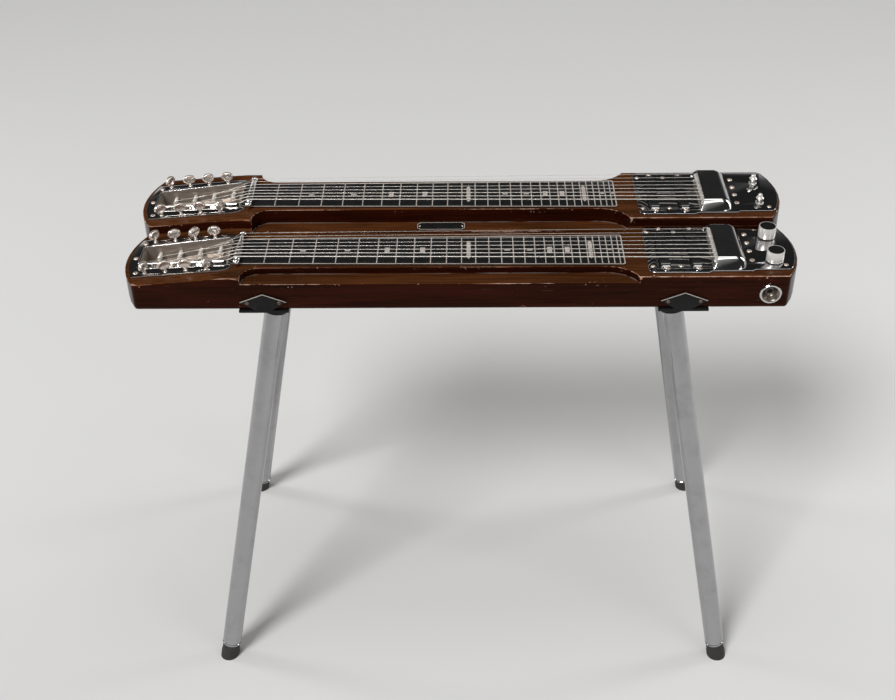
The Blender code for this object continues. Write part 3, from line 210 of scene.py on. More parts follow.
@dataclass(frozen=True)
class LacqueredWood(Finish):
    """Stained wood under a gloss lacquer that has worn through along the edges, with painted light: the tops painted
    lighter and the sides painted darker, and a pale edge line that is partly a painted highlight.
    """

    # top and side are one stained colour in two tones: top is painted light on the faces that look up, side is painted
    # shade on the sides.
    top: Colour = (0.044, 0.0145, 0.0045)
    side: Colour = (0.016, 0.0029, 0.0010)
    bare: Colour = (0.22, 0.085, 0.045)
    # pale is the pale pink of the rubbed edges: partly worn wood and partly a painted highlight on the rounded edges.
    pale: Colour = (0.46, 0.31, 0.24)
    dust: Colour = (0.15, 0.125, 0.110)
    shine: float = 0.10
    sheen: Colour = (0.60, 0.50, 0.45)

    def build(self) -> bpy.types.Material:
        """Make the material: the wood's colour with painted light on the tops and painted shade on the sides, grain,
        worn edges that are partly a painted highlight, chips, scratches and lacquer.
        """
        graph = Graph(self.name)
        even = graph.stretch((1.0, 1.0, 1.0))
        edge = graph.attribute("edge_distance")
        fine = graph.noise(graph.stretch((5.0, 150.0, 150.0)), 2.0, 6.0, 0.6, 0.4)
        broad = graph.noise(graph.stretch((2.2, 14.0, 14.0)), 1.6, 4.0, 0.55, 0.8)
        stain_and_painted_light = self.stain_and_painted_light(graph, fine, broad)
        reach = graph.band(graph.noise(even, 60.0, 6.0, 0.7), 0.36, 0.64, 0.22, 0.72)
        rubbed = graph.band(graph.math("SUBTRACT", reach, edge), -0.08, 0.16)
        rubbed = graph.math("MULTIPLY", rubbed, graph.band(broad, 0.30, 0.45, 0.35, 1.0))
        chip = self.chips(graph, even, edge)
        # The rubbed edges and the chips go to bare wood, between a reddish and a pale pink tone; the pale pink line
        # along the edges is partly wear and partly a painted highlight on the rounded edges.
        colour = graph.mix(rubbed, stain_and_painted_light, graph.mix(graph.band(fine, 0.4, 0.6), self.bare, self.pale))
        colour = graph.mix(chip, colour, graph.mix(graph.band(fine, 0.4, 0.6), self.bare, self.pale))
        hollow = graph.band(graph.attribute("hollow_distance"), 0.3, 1.3, 0.75, 0.0)
        settled = graph.math("MULTIPLY", hollow, graph.band(graph.noise(even, 35.0, 4.0), 0.34, 0.56))
        colour = graph.mix(settled, colour, self.dust)
        scratch = graph.noise(graph.stretch((9.0, 260.0, 260.0), (0.0, 0.12, 0.2)), 3.0, 2.0, 0.5, 0.2)
        scratch = graph.band(scratch, 0.71, 0.76)
        colour = graph.mix(graph.math("MULTIPLY", scratch, 0.25), colour, shade(self.bare, 0.8))
        haze = graph.noise(even, 14.0, 6.0, 0.7)
        rough = graph.band(haze, 0.3, 0.75, 0.16, 0.32)
        worn = graph.math("MAXIMUM", rubbed, chip)
        rough = graph.math("MAXIMUM", rough, graph.math("MULTIPLY", worn, 0.55))
        grain = graph.bump(fine, 0.10, 0.0003)
        relief = graph.bump(worn, 0.5, -0.0002, grain)
        graph.set(Base_Color=colour, Roughness=rough, Normal=relief, Specular_IOR_Level=self.shine,
                  Specular_Tint=self.sheen)
        return graph.material

    def stain_and_painted_light(self, graph: Graph, fine: bpy.types.NodeSocket, broad: bpy.types.NodeSocket
              ) -> bpy.types.NodeSocket:
        """The wood's colour with painted light: golden brown where the wood faces up and dark red-brown on the sides,
        one stained wood painted in two tones for how the light falls.

        Args:
            graph: the material's graph.
            fine: the fine grain.
            broad: the broad figure.

        Returns:
            The colour, stained and painted lighter on top and darker on the sides.
        """
        normal = graph.node("ShaderNodeNewGeometry").outputs["Normal"]
        up = graph.node("ShaderNodeSeparateXYZ", {0: normal}).outputs[2]
        # facing carries the painted light and shade: one on faces that look up, zero on the sides.
        facing = graph.band(up, 0.15, 0.75)
        stain_and_painted_light = graph.mix(facing, self.side, self.top)
        light = graph.mix(facing, shade(self.side, 2.2), shade(self.top, 2.2))
        stain_and_painted_light = graph.mix(graph.band(broad, 0.35, 0.68, 0.0, 0.7), stain_and_painted_light, light)
        dark = graph.mix(facing, shade(self.side, 0.45), shade(self.top, 0.45))
        return graph.mix(graph.band(fine, 0.46, 0.62, 0.0, 0.6), stain_and_painted_light, dark)

    def chips(self, graph: Graph, even: bpy.types.NodeSocket, edge: bpy.types.NodeSocket
              ) -> bpy.types.NodeSocket:
        """Small chips, thick along the edges and few elsewhere.

        Args:
            graph: the material's graph.
            even: the place, unstretched.
            edge: the distance from the nearest corner in millimetres.

        Returns:
            One where the lacquer is chipped and zero elsewhere.
        """
        speck = graph.band(graph.specks(even, 210.0), 0.16, 0.26, 1.0, 0.0)
        ragged = graph.band(graph.noise(even, 900.0, 3.0, 0.7), 0.42, 0.50)
        sparse = graph.band(graph.noise(even, 48.0, 3.0), 0.56, 0.64)
        near = graph.band(edge, 1.0, 7.0, 1.0, 0.0)
        lone = graph.band(graph.noise(even, 19.0, 2.0), 0.66, 0.70)
        where = graph.math("MULTIPLY", sparse, graph.math("MAXIMUM", near, lone))
        return graph.math("MULTIPLY", graph.math("MULTIPLY", speck, ragged), where)


@dataclass(frozen=True)
class Plated(Finish):
    """Plated or polished metal, with smudges, fine scratches and a few pits."""

    colour: Colour = (0.74, 0.73, 0.72)
    tarnish: Colour = (0.45, 0.42, 0.38)
    rough: float = 0.06
    smudge: float = 0.16
    pits: float = 0.5
    brushed: float = 0.0
    metal: float = 1.0
    ripple: float = 0.02
    clouding: float = 0.5
    inside_rough: float = 0.0
    inside_metal: float = 0.7

    def build(self) -> bpy.types.Material:
        """Make the material."""
        graph = Graph(self.name)
        cloud = graph.noise(graph.stretch((1.0, 1.0, 1.0)), 38.0, 6.0, 0.62, 0.5)
        speck = graph.specks(graph.stretch((1.0, 1.0, 1.0)), 900.0)
        gate = graph.band(graph.noise(graph.stretch((1.0, 1.0, 1.0)), 120.0, 2.0), 0.52, 0.64)
        pit = graph.math("MULTIPLY", graph.band(speck, 0.10, 0.22, self.pits, 0.0), gate)
        streak = graph.noise(graph.stretch((12.0, 900.0, 900.0)), 1.0, 3.0, 0.6)
        colour = graph.mix(graph.band(cloud, 0.42, 0.80, 0.0, self.clouding), self.colour, self.tarnish)
        colour = graph.mix(pit, colour, shade(self.tarnish, 0.35))
        rough = graph.band(cloud, 0.35, 0.75, self.rough, self.smudge)
        rough = graph.math("ADD", rough, graph.math("MULTIPLY", streak, self.brushed))
        rough = graph.math("ADD", rough, graph.math("MULTIPLY", pit, 0.4))
        ripple = graph.bump(graph.noise(graph.stretch((1.0, 1.0, 1.0)), 60.0, 2.0), self.ripple, 0.0002)
        fine = graph.bump(streak, 0.04 + self.brushed, 0.00002, ripple)
        dents = graph.bump(pit, 0.4, -0.00005, fine)
        metal: Any = self.metal
        if self.inside_rough:
            inside = graph.attribute("inside")
            colour = graph.mix(inside, colour, graph.mix(graph.band(cloud, 0.3, 0.7), self.tarnish, shade(self.tarnish, 0.8)))
            rough = graph.math("MAXIMUM", rough, graph.math("MULTIPLY", inside, self.inside_rough))
            metal = graph.band(inside, 0.0, 1.0, self.metal, self.inside_metal)
        graph.set(Base_Color=colour, Roughness=rough, Normal=dents, Metallic=metal)
        return graph.material


@dataclass(frozen=True)
class SatinPaint(Finish):
    """Paint or enamel on metal, scratched and rubbed."""

    colour: Colour = (0.012, 0.012, 0.013)
    worn: Colour = (0.10, 0.095, 0.09)
    rough: float = 0.30
    wear: float = 0.5
    gloss: float = 0.30

    def build(self) -> bpy.types.Material:
        """Make the material."""
        graph = Graph(self.name)
        cloud = graph.noise(graph.stretch((1.0, 1.0, 1.0)), 60.0, 5.0, 0.6)
        dust = graph.noise(graph.stretch((1.0, 1.0, 1.0)), 1500.0, 2.0, 0.6)
        scratch = graph.noise(graph.stretch((300.0, 14.0, 14.0), (0.0, 0.0, 0.5)), 3.0, 2.0, 0.5, 0.3)
        line = graph.band(scratch, 0.69, 0.75)
        colour = graph.mix(graph.band(cloud, 0.3, 0.8, 0.0, 0.5), self.colour, shade(self.colour, 1.8))
        colour = graph.mix(graph.math("MULTIPLY", line, self.wear), colour, self.worn)
        colour = graph.mix(graph.band(dust, 0.66, 0.74, 0.0, 0.4 * self.wear), colour, self.worn)
        rough = graph.band(cloud, 0.3, 0.75, self.rough, self.rough + 0.16)
        relief = graph.bump(dust, 0.10, 0.00004)
        relief = graph.bump(line, 0.3, -0.00004, relief)
        graph.set(Base_Color=colour, Roughness=rough, Normal=relief, Specular_IOR_Level=self.gloss)
        return graph.material


@dataclass(frozen=True)
class WireWound(Finish):
    """A wound string: round wire laid side by side about a core, from the piece's own UV map, with painted shade in
    the grooves between the turns.
    """

    colour: Colour = (0.62, 0.60, 0.56)
    # groove is painted shade: the darker colour of the grooves between the turns.
    groove: Colour = (0.10, 0.09, 0.08)
    pitch: float = 0.00042
    metal: float = 0.55

    def build(self) -> bpy.types.Material:
        """Make the material."""
        graph = Graph(self.name)
        along = graph.node("ShaderNodeSeparateXYZ", {0: graph.node("ShaderNodeTexCoord").outputs["UV"]})
        turn = graph.math("MULTIPLY", along.outputs[0], 2.0 * math.pi / self.pitch)
        wave = graph.math("SINE", turn)
        cloud = graph.noise(graph.stretch((1.0, 1.0, 1.0)), 90.0, 4.0, 0.6)
        # The grooves between the turns are painted darker: painted shade.
        colour = graph.mix(graph.band(wave, -1.0, 0.1, 1.0, 0.0), self.colour, self.groove)
        colour = graph.mix(graph.band(cloud, 0.5, 0.8, 0.0, 0.5), colour, shade(self.colour, 0.5))
        rough = graph.band(cloud, 0.3, 0.7, 0.22, 0.42)
        graph.set(Base_Color=colour, Roughness=rough, Normal=graph.bump(wave, 0.2, 0.00006), Metallic=self.metal)
        return graph.material


@dataclass(frozen=True)
class Rubber(Finish):
    """Old black rubber."""

    colour: Colour = (0.016, 0.015, 0.014)

    def build(self) -> bpy.types.Material:
        """Make the material."""
        graph = Graph(self.name)
        grime = graph.noise(graph.stretch((1.0, 1.0, 1.0)), 140.0, 6.0, 0.7)
        colour = graph.mix(graph.band(grime, 0.45, 0.75, 0.0, 0.7), self.colour, (0.055, 0.05, 0.045))
        rough = graph.band(grime, 0.3, 0.7, 0.55, 0.85)
        graph.set(Base_Color=colour, Roughness=rough, Normal=graph.bump(grime, 0.3, 0.0003))
        return graph.material


WOOD = LacqueredWood("stained_wood")
CHROME = Plated("bright_chrome", (0.72, 0.71, 0.71), (0.45, 0.42, 0.39), 0.05, 0.11, 0.35)
# The legs' chrome is painted darker than the other chrome: painted shade that stands in for dark reflections on the
# legs.
LEG_CHROME_PAINTED_DARK = Plated("leg_chrome_painted_dark", (0.42, 0.42, 0.43), (0.20, 0.19, 0.18), 0.04, 0.09, 0.5, 0.0, 1.0, 0.006, 0.30)
KNOB_SATIN = Plated("knob_satin", (0.78, 0.75, 0.72), (0.56, 0.53, 0.50), 0.26, 0.34, 0.3, 0.05, 0.55)
TOGGLE_NICKEL = Plated("toggle_nickel", (0.80, 0.77, 0.72), (0.52, 0.47, 0.42), 0.12, 0.22, 0.3, 0.0, 0.70)
MIRROR = Plated("mirror_plate", (0.50, 0.50, 0.51), (0.30, 0.28, 0.26), 0.03, 0.07, 0.35, 0.0, 1.0, 0.006, 0.4)
PAN_METAL = Plated("pan_chrome", (0.60, 0.58, 0.56), (0.40, 0.345, 0.30), 0.04, 0.09, 0.3, 0.0, 1.0, 0.01, 0.3, 0.30)
NICKEL = Plated("worn_nickel", (0.72, 0.64, 0.58), (0.42, 0.36, 0.31), 0.20, 0.30, 0.4, 0.0, 0.80)
STEEL = Plated("bright_steel", (0.70, 0.67, 0.62), (0.42, 0.38, 0.33), 0.20, 0.32, 0.3, 0.0, 0.55)
POST_METAL = Plated("post_steel", (0.82, 0.78, 0.72), (0.55, 0.50, 0.45), 0.22, 0.34, 0.3, 0.0, 0.45)
SCREW_METAL = Plated("screw_metal", (0.74, 0.63, 0.55), (0.40, 0.30, 0.24), 0.20, 0.32, 0.6, 0.0, 0.75)
DARK_SCREW = Plated("dark_screw", (0.15, 0.11, 0.09), (0.07, 0.05, 0.04), 0.24, 0.36, 0.6, 0.0, 0.60)
CUP_DARK = Plated("cup_dark", (0.24, 0.21, 0.18), (0.10, 0.085, 0.07), 0.26, 0.36, 0.4, 0.0, 0.85)
BOARD_PAINT = SatinPaint("board_black", (0.0075, 0.0075, 0.008), (0.07, 0.065, 0.06), 0.32, 0.16, 0.16)
ENAMEL = SatinPaint("black_enamel", (0.006, 0.006, 0.006), (0.05, 0.045, 0.045), 0.40, 0.4, 0.18)
PRINT_WHITE = SatinPaint("print_white", (0.32, 0.285, 0.255), (0.14, 0.125, 0.11), 0.42, 0.5, 0.25)
COIL_BLACK = SatinPaint("coil_black", (0.010, 0.010, 0.010), (0.06, 0.055, 0.05), 0.16, 0.2, 0.4)
# The second colour of the wound strings is the painted shade in the grooves between the turns.
WOUND = WireWound("wound_string", (0.72, 0.68, 0.62), (0.34, 0.31, 0.28))
FOOT_RUBBER = Rubber("foot_rubber")


@lru_cache(maxsize=None)
def material_of(finish: Finish) -> bpy.types.Material:
    """The material of a finish, made once."""
    return finish.build()


# Mesh helpers

def lathe(profile: Sequence[tuple[float, float]], sides: int) -> bmesh.types.BMesh:
    """Turn a profile about the Z axis.

    Args:
        profile: radius and height of each ring; a radius of zero closes the shape to a point.
        sides: how many sides a ring has.

    Returns:
        The turned mesh.
    """
    shape = bmesh.new()
    rings = []
    for radius, height in profile:
        if radius == 0:
            rings.append([shape.verts.new((0.0, 0.0, height))])
            continue
        angles = [2 * math.pi * k / sides for k in range(sides)]
        rings.append([shape.verts.new((radius * math.cos(a), radius * math.sin(a), height)) for a in angles])
    for lower, upper in zip(rings, rings[1:]):
        for k in range(sides):
            after = (k + 1) % sides
            corners = [lower[k % len(lower)], lower[after % len(lower)]]
            corners += [upper[after % len(upper)], upper[k % len(upper)]]
            shape.faces.new(list(dict.fromkeys(corners)))
    return shape


def sweep(points: Sequence[Vector], radius: float, sides: int = 8) -> bmesh.types.BMesh:
    """Sweep a round section along a path, with closed ends and a UV map in metres along it.

    Args:
        points: the path's points.
        radius: the section's radius.
        sides: how many sides the section has.

    Returns:
        The swept mesh.
    """
    shape = bmesh.new()
    layer = shape.loops.layers.uv.new("UVMap")
    axis = (points[1] - points[0]).normalized()
    across = axis.orthogonal().normalized()
    rings, lengths = [], [0.0]
    for index, point in enumerate(points):
        before = points[max(index - 1, 0)]
        after = points[min(index + 1, len(points) - 1)]
        heading = (after - before).normalized()
        across = axis.rotation_difference(heading) @ across
        axis = heading
        up = axis.cross(across)
        angles = [2 * math.pi * k / sides for k in range(sides)]
        rings.append([shape.verts.new(point + radius * (math.cos(a) * across + math.sin(a) * up)) for a in angles])
        if index:
            lengths.append(lengths[-1] + (point - before).length)
    for index, (first, second) in enumerate(zip(rings, rings[1:])):
        for k in range(sides):
            after = (k + 1) % sides
            face = shape.faces.new((first[k], first[after], second[after], second[k]))
            spots = ((index, k), (index, k + 1), (index + 1, k + 1), (index + 1, k))
            for loop, (row, column) in zip(face.loops, spots):
                loop[layer].uv = (lengths[row], column / sides)
    shape.faces.new(list(reversed(rings[0])))
    shape.faces.new(rings[-1])
    return shape


def loft(outlines: Sequence[Sequence[Place]]) -> bmesh.types.BMesh:
    """Join closed outlines with the same number of points, one above the other, and cap the ends."""
    shape = bmesh.new()
    rows = [[shape.verts.new(corner) for corner in outline] for outline in outlines]
    for lower, upper in zip(rows, rows[1:]):
        for k in range(len(lower)):
            after = (k + 1) % len(lower)
            shape.faces.new((lower[k], lower[after], upper[after], upper[k]))
    shape.faces.new(list(reversed(rows[0])))
    shape.faces.new(rows[-1])
    return shape


def prism(outline: Outline, low: float, high: float) -> bmesh.types.BMesh:
    """Extrude an outline in the XY plane."""
    return loft([[(x, y, z) for x, y in outline] for z in (low, high)])


def block(low: Place, high: Place) -> bmesh.types.BMesh:
    """A box between two corners."""
    corners = [(low[0], low[1]), (high[0], low[1]), (high[0], high[1]), (low[0], high[1])]
    return prism(corners, low[2], high[2])


def arc(centre: tuple[float, float], radius: float, start: float, stop: float, steps: int) -> Outline:
    """Points on an arc, with angles in degrees."""
    angles = [math.radians(start + (stop - start) * k / steps) for k in range(steps + 1)]
    return [(centre[0] + radius * math.cos(a), centre[1] + radius * math.sin(a)) for a in angles]


def moved(shape: bmesh.types.BMesh, matrix: Matrix) -> bmesh.types.BMesh:
    """Move a mesh by a matrix."""
    bmesh.ops.transform(shape, matrix=matrix, verts=shape.verts)
    return shape


def shift(x: float, y: float, z: float) -> Matrix:
    """A move."""
    return Matrix.Translation((x, y, z))


def together(shapes: Iterable[bmesh.types.BMesh]) -> bmesh.types.BMesh:
    """Put several meshes in one."""
    shapes = list(shapes)
    first = shapes[0]
    for other in shapes[1:]:
        mesh = bpy.data.meshes.new("part")
        other.to_mesh(mesh)
        other.free()
        first.from_mesh(mesh)
        bpy.data.meshes.remove(mesh)
    return first


def node_copy(node: str) -> bmesh.types.BMesh:
    """A CAD node's mesh with its loose triangles merged and its flat faces made whole."""
    shape = bmesh.new()
    shape.from_mesh(frame["nodes"][node].data)
    bmesh.ops.remove_doubles(shape, verts=shape.verts, dist=0.000002)
    bmesh.ops.dissolve_limit(shape, angle_limit=math.radians(1.0), verts=shape.verts, edges=shape.edges)
    return shape


def corners_of(shape: bmesh.types.BMesh, least: float) -> list[bmesh.types.BMEdge]:
    """The edges at which two faces meet at more than an angle in degrees."""
    limit = math.radians(least)
    return [e for e in shape.edges if len(e.link_faces) == 2 and e.calc_face_angle(0.0) > limit]


def bevelled(shape: bmesh.types.BMesh, width: float, segments: int = 2, least: float = 50.0
             ) -> bmesh.types.BMesh:
    """Round the sharp edges of a mesh."""
    bmesh.ops.bevel(shape, geom=corners_of(shape, least), offset=width, segments=segments, profile=0.5,
                    affect="EDGES", clamp_overlap=True)
    return shape


def piece(name: str, shape: bmesh.types.BMesh | bpy.types.Mesh, finish: Finish,
          body: str = CONSOLE, replaces: Sequence[str] = (), smooth: float = 40.0) -> bpy.types.Object:
    """Make a finished piece that rides on a body.

    Args:
        name: the piece's name.
        shape: its mesh, in place.
        finish: its finish.
        body: the body that it moves with.
        replaces: the CAD nodes that it stands for.
        smooth: the angle in degrees up to which an edge is shaded smooth.

    Returns:
        The new object.
    """
    if isinstance(shape, bmesh.types.BMesh):
        mesh = bpy.data.meshes.new(name)
        bmesh.ops.recalc_face_normals(shape, faces=shape.faces)
        shape.to_mesh(mesh)
        shape.free()
    else:
        mesh = shape
        mesh.name = name
    mesh.shade_smooth()
    mesh.set_sharp_from_angle(angle=math.radians(smooth))
    mesh.materials.clear()
    mesh.materials.append(material_of(finish))
    obj = bpy.data.objects.new(name, mesh)
    bpy.context.scene.collection.objects.link(obj)
    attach(obj, body)
    if replaces:
        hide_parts(*replaces)
    LOG.info("%s: %d faces on %s", name, len(mesh.polygons), body)
    return obj


# Geometry node trees

class GrowthTree:
    """A Geometry Nodes tree with named inputs, which ends in Realize Instances and Set Material."""

    def __init__(self, name: str, inputs: dict[str, str]) -> None:
        """Start a tree.

        Args:
            name: the tree's name.
            inputs: the type of socket of each named input besides Geometry and Finish.
        """
        self.tree = bpy.data.node_groups.new(name, "GeometryNodeTree")
        face = self.tree.interface
        face.new_socket("Geometry", in_out="INPUT", socket_type="NodeSocketGeometry")
        self.ids = {}
        for key, kind in {**inputs, "Finish": "NodeSocketMaterial"}.items():
            self.ids[key] = face.new_socket(key, in_out="INPUT", socket_type=kind).identifier
        face.new_socket("Geometry", in_out="OUTPUT", socket_type="NodeSocketGeometry")
        self.given = self.node("NodeGroupInput").outputs

    def node(self, kind: str, values: dict[Any, Any] | None = None, **settings: Any) -> bpy.types.Node:
        """Add a node, set its properties, and set or link its inputs."""
        made = self.tree.nodes.new(kind)
        for key, value in settings.items():
            setattr(made, key, value)
        for key, value in (values or {}).items():
            if isinstance(value, bpy.types.NodeSocket):
                self.tree.links.new(value, made.inputs[key])
            else:
                made.inputs[key].default_value = value
        return made

    def math(self, operation: str, first: Any, second: Any = 0.0) -> bpy.types.NodeSocket:
        """One sum."""
        return self.node("ShaderNodeMath", {0: first, 1: second}, operation=operation).outputs[0]

    def close(self, geometry: bpy.types.NodeSocket) -> None:
        """End the tree with Realize Instances and Set Material."""
        real = self.node("GeometryNodeRealizeInstances", {"Geometry": geometry}).outputs[0]
        dressed = self.node("GeometryNodeSetMaterial", {"Geometry": real, "Material": self.given["Finish"]})
        self.node("NodeGroupOutput", {0: dressed.outputs[0]})

    def grow(self, base: bpy.types.Mesh, finish: Finish, values: dict[str, Any]) -> bpy.types.Mesh:
        """Run the tree on a mesh.

        Args:
            base: the mesh that the tree starts from.
            finish: the finish of what it makes.
            values: values of the named inputs.

        Returns:
            The result as a plain mesh.
        """
        carrier = bpy.data.objects.new("carrier", base)
        bpy.context.scene.collection.objects.link(carrier)
        modifier = carrier.modifiers.new("growth", "NODES")
        modifier.node_group = self.tree
        for key, value in {**values, "Finish": material_of(finish)}.items():
            modifier[self.ids[key]] = value
        bpy.context.view_layer.update()
        graph = bpy.context.evaluated_depsgraph_get()
        result = bpy.data.meshes.new_from_object(carrier.evaluated_get(graph))
        carrier.modifiers.clear()
        bpy.data.objects.remove(carrier)
        return result


@dataclass(frozen=True)
class ScrewPlace:
    """Where a screw head sits, which way it faces and how far its slot is turned."""

    point: Vector
    facing: Vector
    turn: float


@lru_cache(maxsize=None)
def scatter_tree() -> GrowthTree:
    """The tree that sets a copy of a screw head on each point, facing as its attributes say."""
    tree = GrowthTree("screw_scatter", {"Screw": "NodeSocketObject", "Size": "NodeSocketFloat"})
    facing = tree.node("GeometryNodeInputNamedAttribute", {"Name": "facing"}, data_type="FLOAT_VECTOR")
    turn = tree.node("GeometryNodeInputNamedAttribute", {"Name": "turn"}, data_type="FLOAT")
    aim = tree.node("FunctionNodeAlignRotationToVector", {"Vector": facing.outputs[0]}, axis="Z")
    spin = tree.node("FunctionNodeAxisAngleToRotation", {"Axis": (0.0, 0.0, 1.0), "Angle": turn.outputs[0]})
    both = tree.node("FunctionNodeRotateRotation", {0: aim.outputs[0], 1: spin.outputs[0]}, rotation_space="LOCAL")
    info = tree.node("GeometryNodeObjectInfo", {"Object": tree.given["Screw"]})
    points = tree.node("GeometryNodeMeshToPoints", {"Mesh": tree.given["Geometry"]})
    made = tree.node("GeometryNodeInstanceOnPoints", {
        "Points": points.outputs[0],
        "Instance": info.outputs["Geometry"],
        "Rotation": both.outputs[0],
        "Scale": tree.given["Size"],
    })
    tree.close(made.outputs[0])
    return tree


@lru_cache(maxsize=None)
def fret_tree() -> GrowthTree:
    """The tree that lays a line at each fret, by the twelfth root of two, as wide as the plate there."""
    sizes = ("Scale Length", "Nut X", "Line Width", "Depth", "Half At Nut", "Half At End", "End X")
    tree = GrowthTree("fret_lines", {"Frets": "NodeSocketInt", **{key: "NodeSocketFloat" for key in sizes}})
    given = tree.given
    line = tree.node("GeometryNodeMeshLine", {"Count": given["Frets"]}, mode="OFFSET")
    index = tree.node("GeometryNodeInputIndex").outputs[0]
    number = tree.math("ADD", index, 1.0)
    power = tree.math("POWER", 2.0, tree.math("DIVIDE", number, -12.0))
    along = tree.math("MULTIPLY", given["Scale Length"], tree.math("SUBTRACT", 1.0, power))
    x = tree.math("ADD", given["Nut X"], along)
    share = tree.math("DIVIDE", along, tree.math("SUBTRACT", given["End X"], given["Nut X"]))
    growth = tree.math("MULTIPLY", share, tree.math("SUBTRACT", given["Half At End"], given["Half At Nut"]))
    half = tree.math("ADD", given["Half At Nut"], growth)
    place = tree.node("ShaderNodeCombineXYZ", {0: x})
    moved_line = tree.node("GeometryNodeSetPosition", {0: line.outputs[0], "Position": place.outputs[0]})
    bar = tree.node("GeometryNodeMeshCube", {"Size": (1.0, 1.0, 1.0)})
    width = tree.node("ShaderNodeCombineXYZ", {
        0: given["Line Width"],
        1: tree.math("MULTIPLY", half, 2.0),
        2: given["Depth"],
    })
    made = tree.node("GeometryNodeInstanceOnPoints", {
        "Points": moved_line.outputs[0],
        "Instance": bar.outputs[0],
        "Scale": width.outputs[0],
    })
    tree.close(made.outputs[0])
    return tree


@lru_cache(maxsize=None)
def coil_tree() -> GrowthTree:
    """The tree that winds a wire into a coil about the Z axis."""
    sizes = ("Turns", "Radius", "Height", "Wire Radius")
    tree = GrowthTree("wire_coil", {key: "NodeSocketFloat" for key in sizes})
    given = tree.given
    spiral = tree.node("GeometryNodeCurveSpiral", {
        "Resolution": 24,
        "Rotations": given["Turns"],
        "Start Radius": given["Radius"],
        "End Radius": given["Radius"],
        "Height": given["Height"],
    })
    ring = tree.node("GeometryNodeCurvePrimitiveCircle", {"Resolution": 8, "Radius": given["Wire Radius"]})
    wire = tree.node("GeometryNodeCurveToMesh", {0: spiral.outputs[0], 1: ring.outputs[0], "Fill Caps": True})
    tree.close(wire.outputs[0])
    return tree


class ScrewHead:
    """A round slotted screw head, kept as a hidden pattern for the scatter tree."""

    radius = 0.0032
    height = 0.0014
    slot_width = 0.0012
    slot_depth = 0.0010

    def pattern(self) -> bpy.types.Object:
        """Make the pattern: a low dome with a slot cut across it.

        Returns:
            The pattern's object, which isn't linked to the scene.
        """
        dome = [(0.0, -0.0004), (self.radius, -0.0004), (self.radius, 0.0)]
        for step in range(1, 5):
            angle = math.pi / 2 * step / 5
            dome.append((self.radius * math.cos(angle), self.height * math.sin(angle)))
        dome.append((0.0, self.height))
        head = self.as_object("screw_head", lathe(dome, 16))
        half = self.slot_width / 2
        low = self.height - self.slot_depth
        reach = 2 * self.radius
        cutter = self.as_object("screw_slot", block((-reach, -half, low), (reach, half, 2 * self.height)))
        modifier = head.modifiers.new("slot", "BOOLEAN")
        modifier.operation = "DIFFERENCE"
        modifier.object = cutter
        bpy.context.view_layer.update()
        graph = bpy.context.evaluated_depsgraph_get()
        mesh = bpy.data.meshes.new_from_object(head.evaluated_get(graph))
        bpy.data.objects.remove(head)
        bpy.data.objects.remove(cutter)
        return bpy.data.objects.new("screw_pattern", mesh)

    @staticmethod
    def as_object(name: str, shape: bmesh.types.BMesh) -> bpy.types.Object:
        """Link a mesh to the scene as a plain object."""
        mesh = bpy.data.meshes.new(name)
        bmesh.ops.recalc_face_normals(shape, faces=shape.faces)
        shape.to_mesh(mesh)
        shape.free()
        obj = bpy.data.objects.new(name, mesh)
        bpy.context.scene.collection.objects.link(obj)
        return obj


@lru_cache(maxsize=None)
def screw_pattern() -> bpy.types.Object:
    """The screw head that every screw copies."""
    return ScrewHead().pattern()


def screws(name: str, places: Sequence[ScrewPlace], size: float,
           finish: Finish | None = None) -> None:
    """Set screw heads as one piece.

    Args:
        name: the piece's name.
        places: where they sit.
        size: their size against the pattern's.
        finish: their finish, where it isn't the usual one.
    """
    finish = finish or SCREW_METAL
    base = bpy.data.meshes.new("screw_points")
    base.from_pydata([place.point for place in places], [], [])
    base.attributes.new("facing", "FLOAT_VECTOR", "POINT")
    base.attributes.new("turn", "FLOAT", "POINT")
    base.attributes["facing"].data.foreach_set("vector", [c for place in places for c in place.facing])
    base.attributes["turn"].data.foreach_set("value", [place.turn for place in places])
    mesh = scatter_tree().grow(base, finish, {"Screw": screw_pattern(), "Size": size})
    piece(name, mesh, finish, smooth=50.0)


# Necks

@dataclass(frozen=True)
class Neck:
    """One neck of the console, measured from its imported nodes."""

    name: str
    side: int

    gap = 0.0003
    board_thickness = 0.0012
    scale_length = 0.5715
    nut_x = -0.2660
    frets = 29
    half_at_nut = 0.0292
    half_at_end = 0.03395
    hinge_x = -0.2700
    slope = math.atan2(0.010, 0.120)
    key_pitch = 0.0250
    post_radius = 0.0026
    gauges = (1.37, 1.07, 0.91, 0.76, 0.61, 0.46, 0.41, 0.36)
    wound = 5

    @property
    def y(self) -> float:
        """The neck's centre line."""
        low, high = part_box(f"{self.name}_fretboard")
        return (low.y + high.y) / 2

    @property
    def top(self) -> float:
        """Height of the plank's flat top."""
        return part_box(f"{self.name}_fretboard")[0].z - self.gap

    @property
    def board_top(self) -> float:
        """Height of the fret plate's face."""
        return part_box(f"{self.name}_fretboard")[1].z

    @property
    def plate_top(self) -> float:
        """Height of the control plate's face."""
        return self.top + self.gap + 0.0015

    @property
    def head(self) -> Matrix:
        """The sloped head's own frame: x = 0 on the hinge line and z = 0 on the wood."""
        return shift(self.hinge_x, self.y, self.top) @ Matrix.Rotation(-self.slope, 4, "Y")

    def fret_x(self, number: float) -> float:
        """Place of a fret line along the scale."""
        return self.nut_x + self.scale_length * (1 - 2 ** (-number / 12))

    def joint_place(self, joint: str) -> Vector:
        """Place of one of this neck's joints."""
        return Vector(next(j["pos_m"] for j in frame["joints"] if j["name"] == f"{self.name}_{joint}"))


NECKS = (Neck("front", -1), Neck("rear", 1))


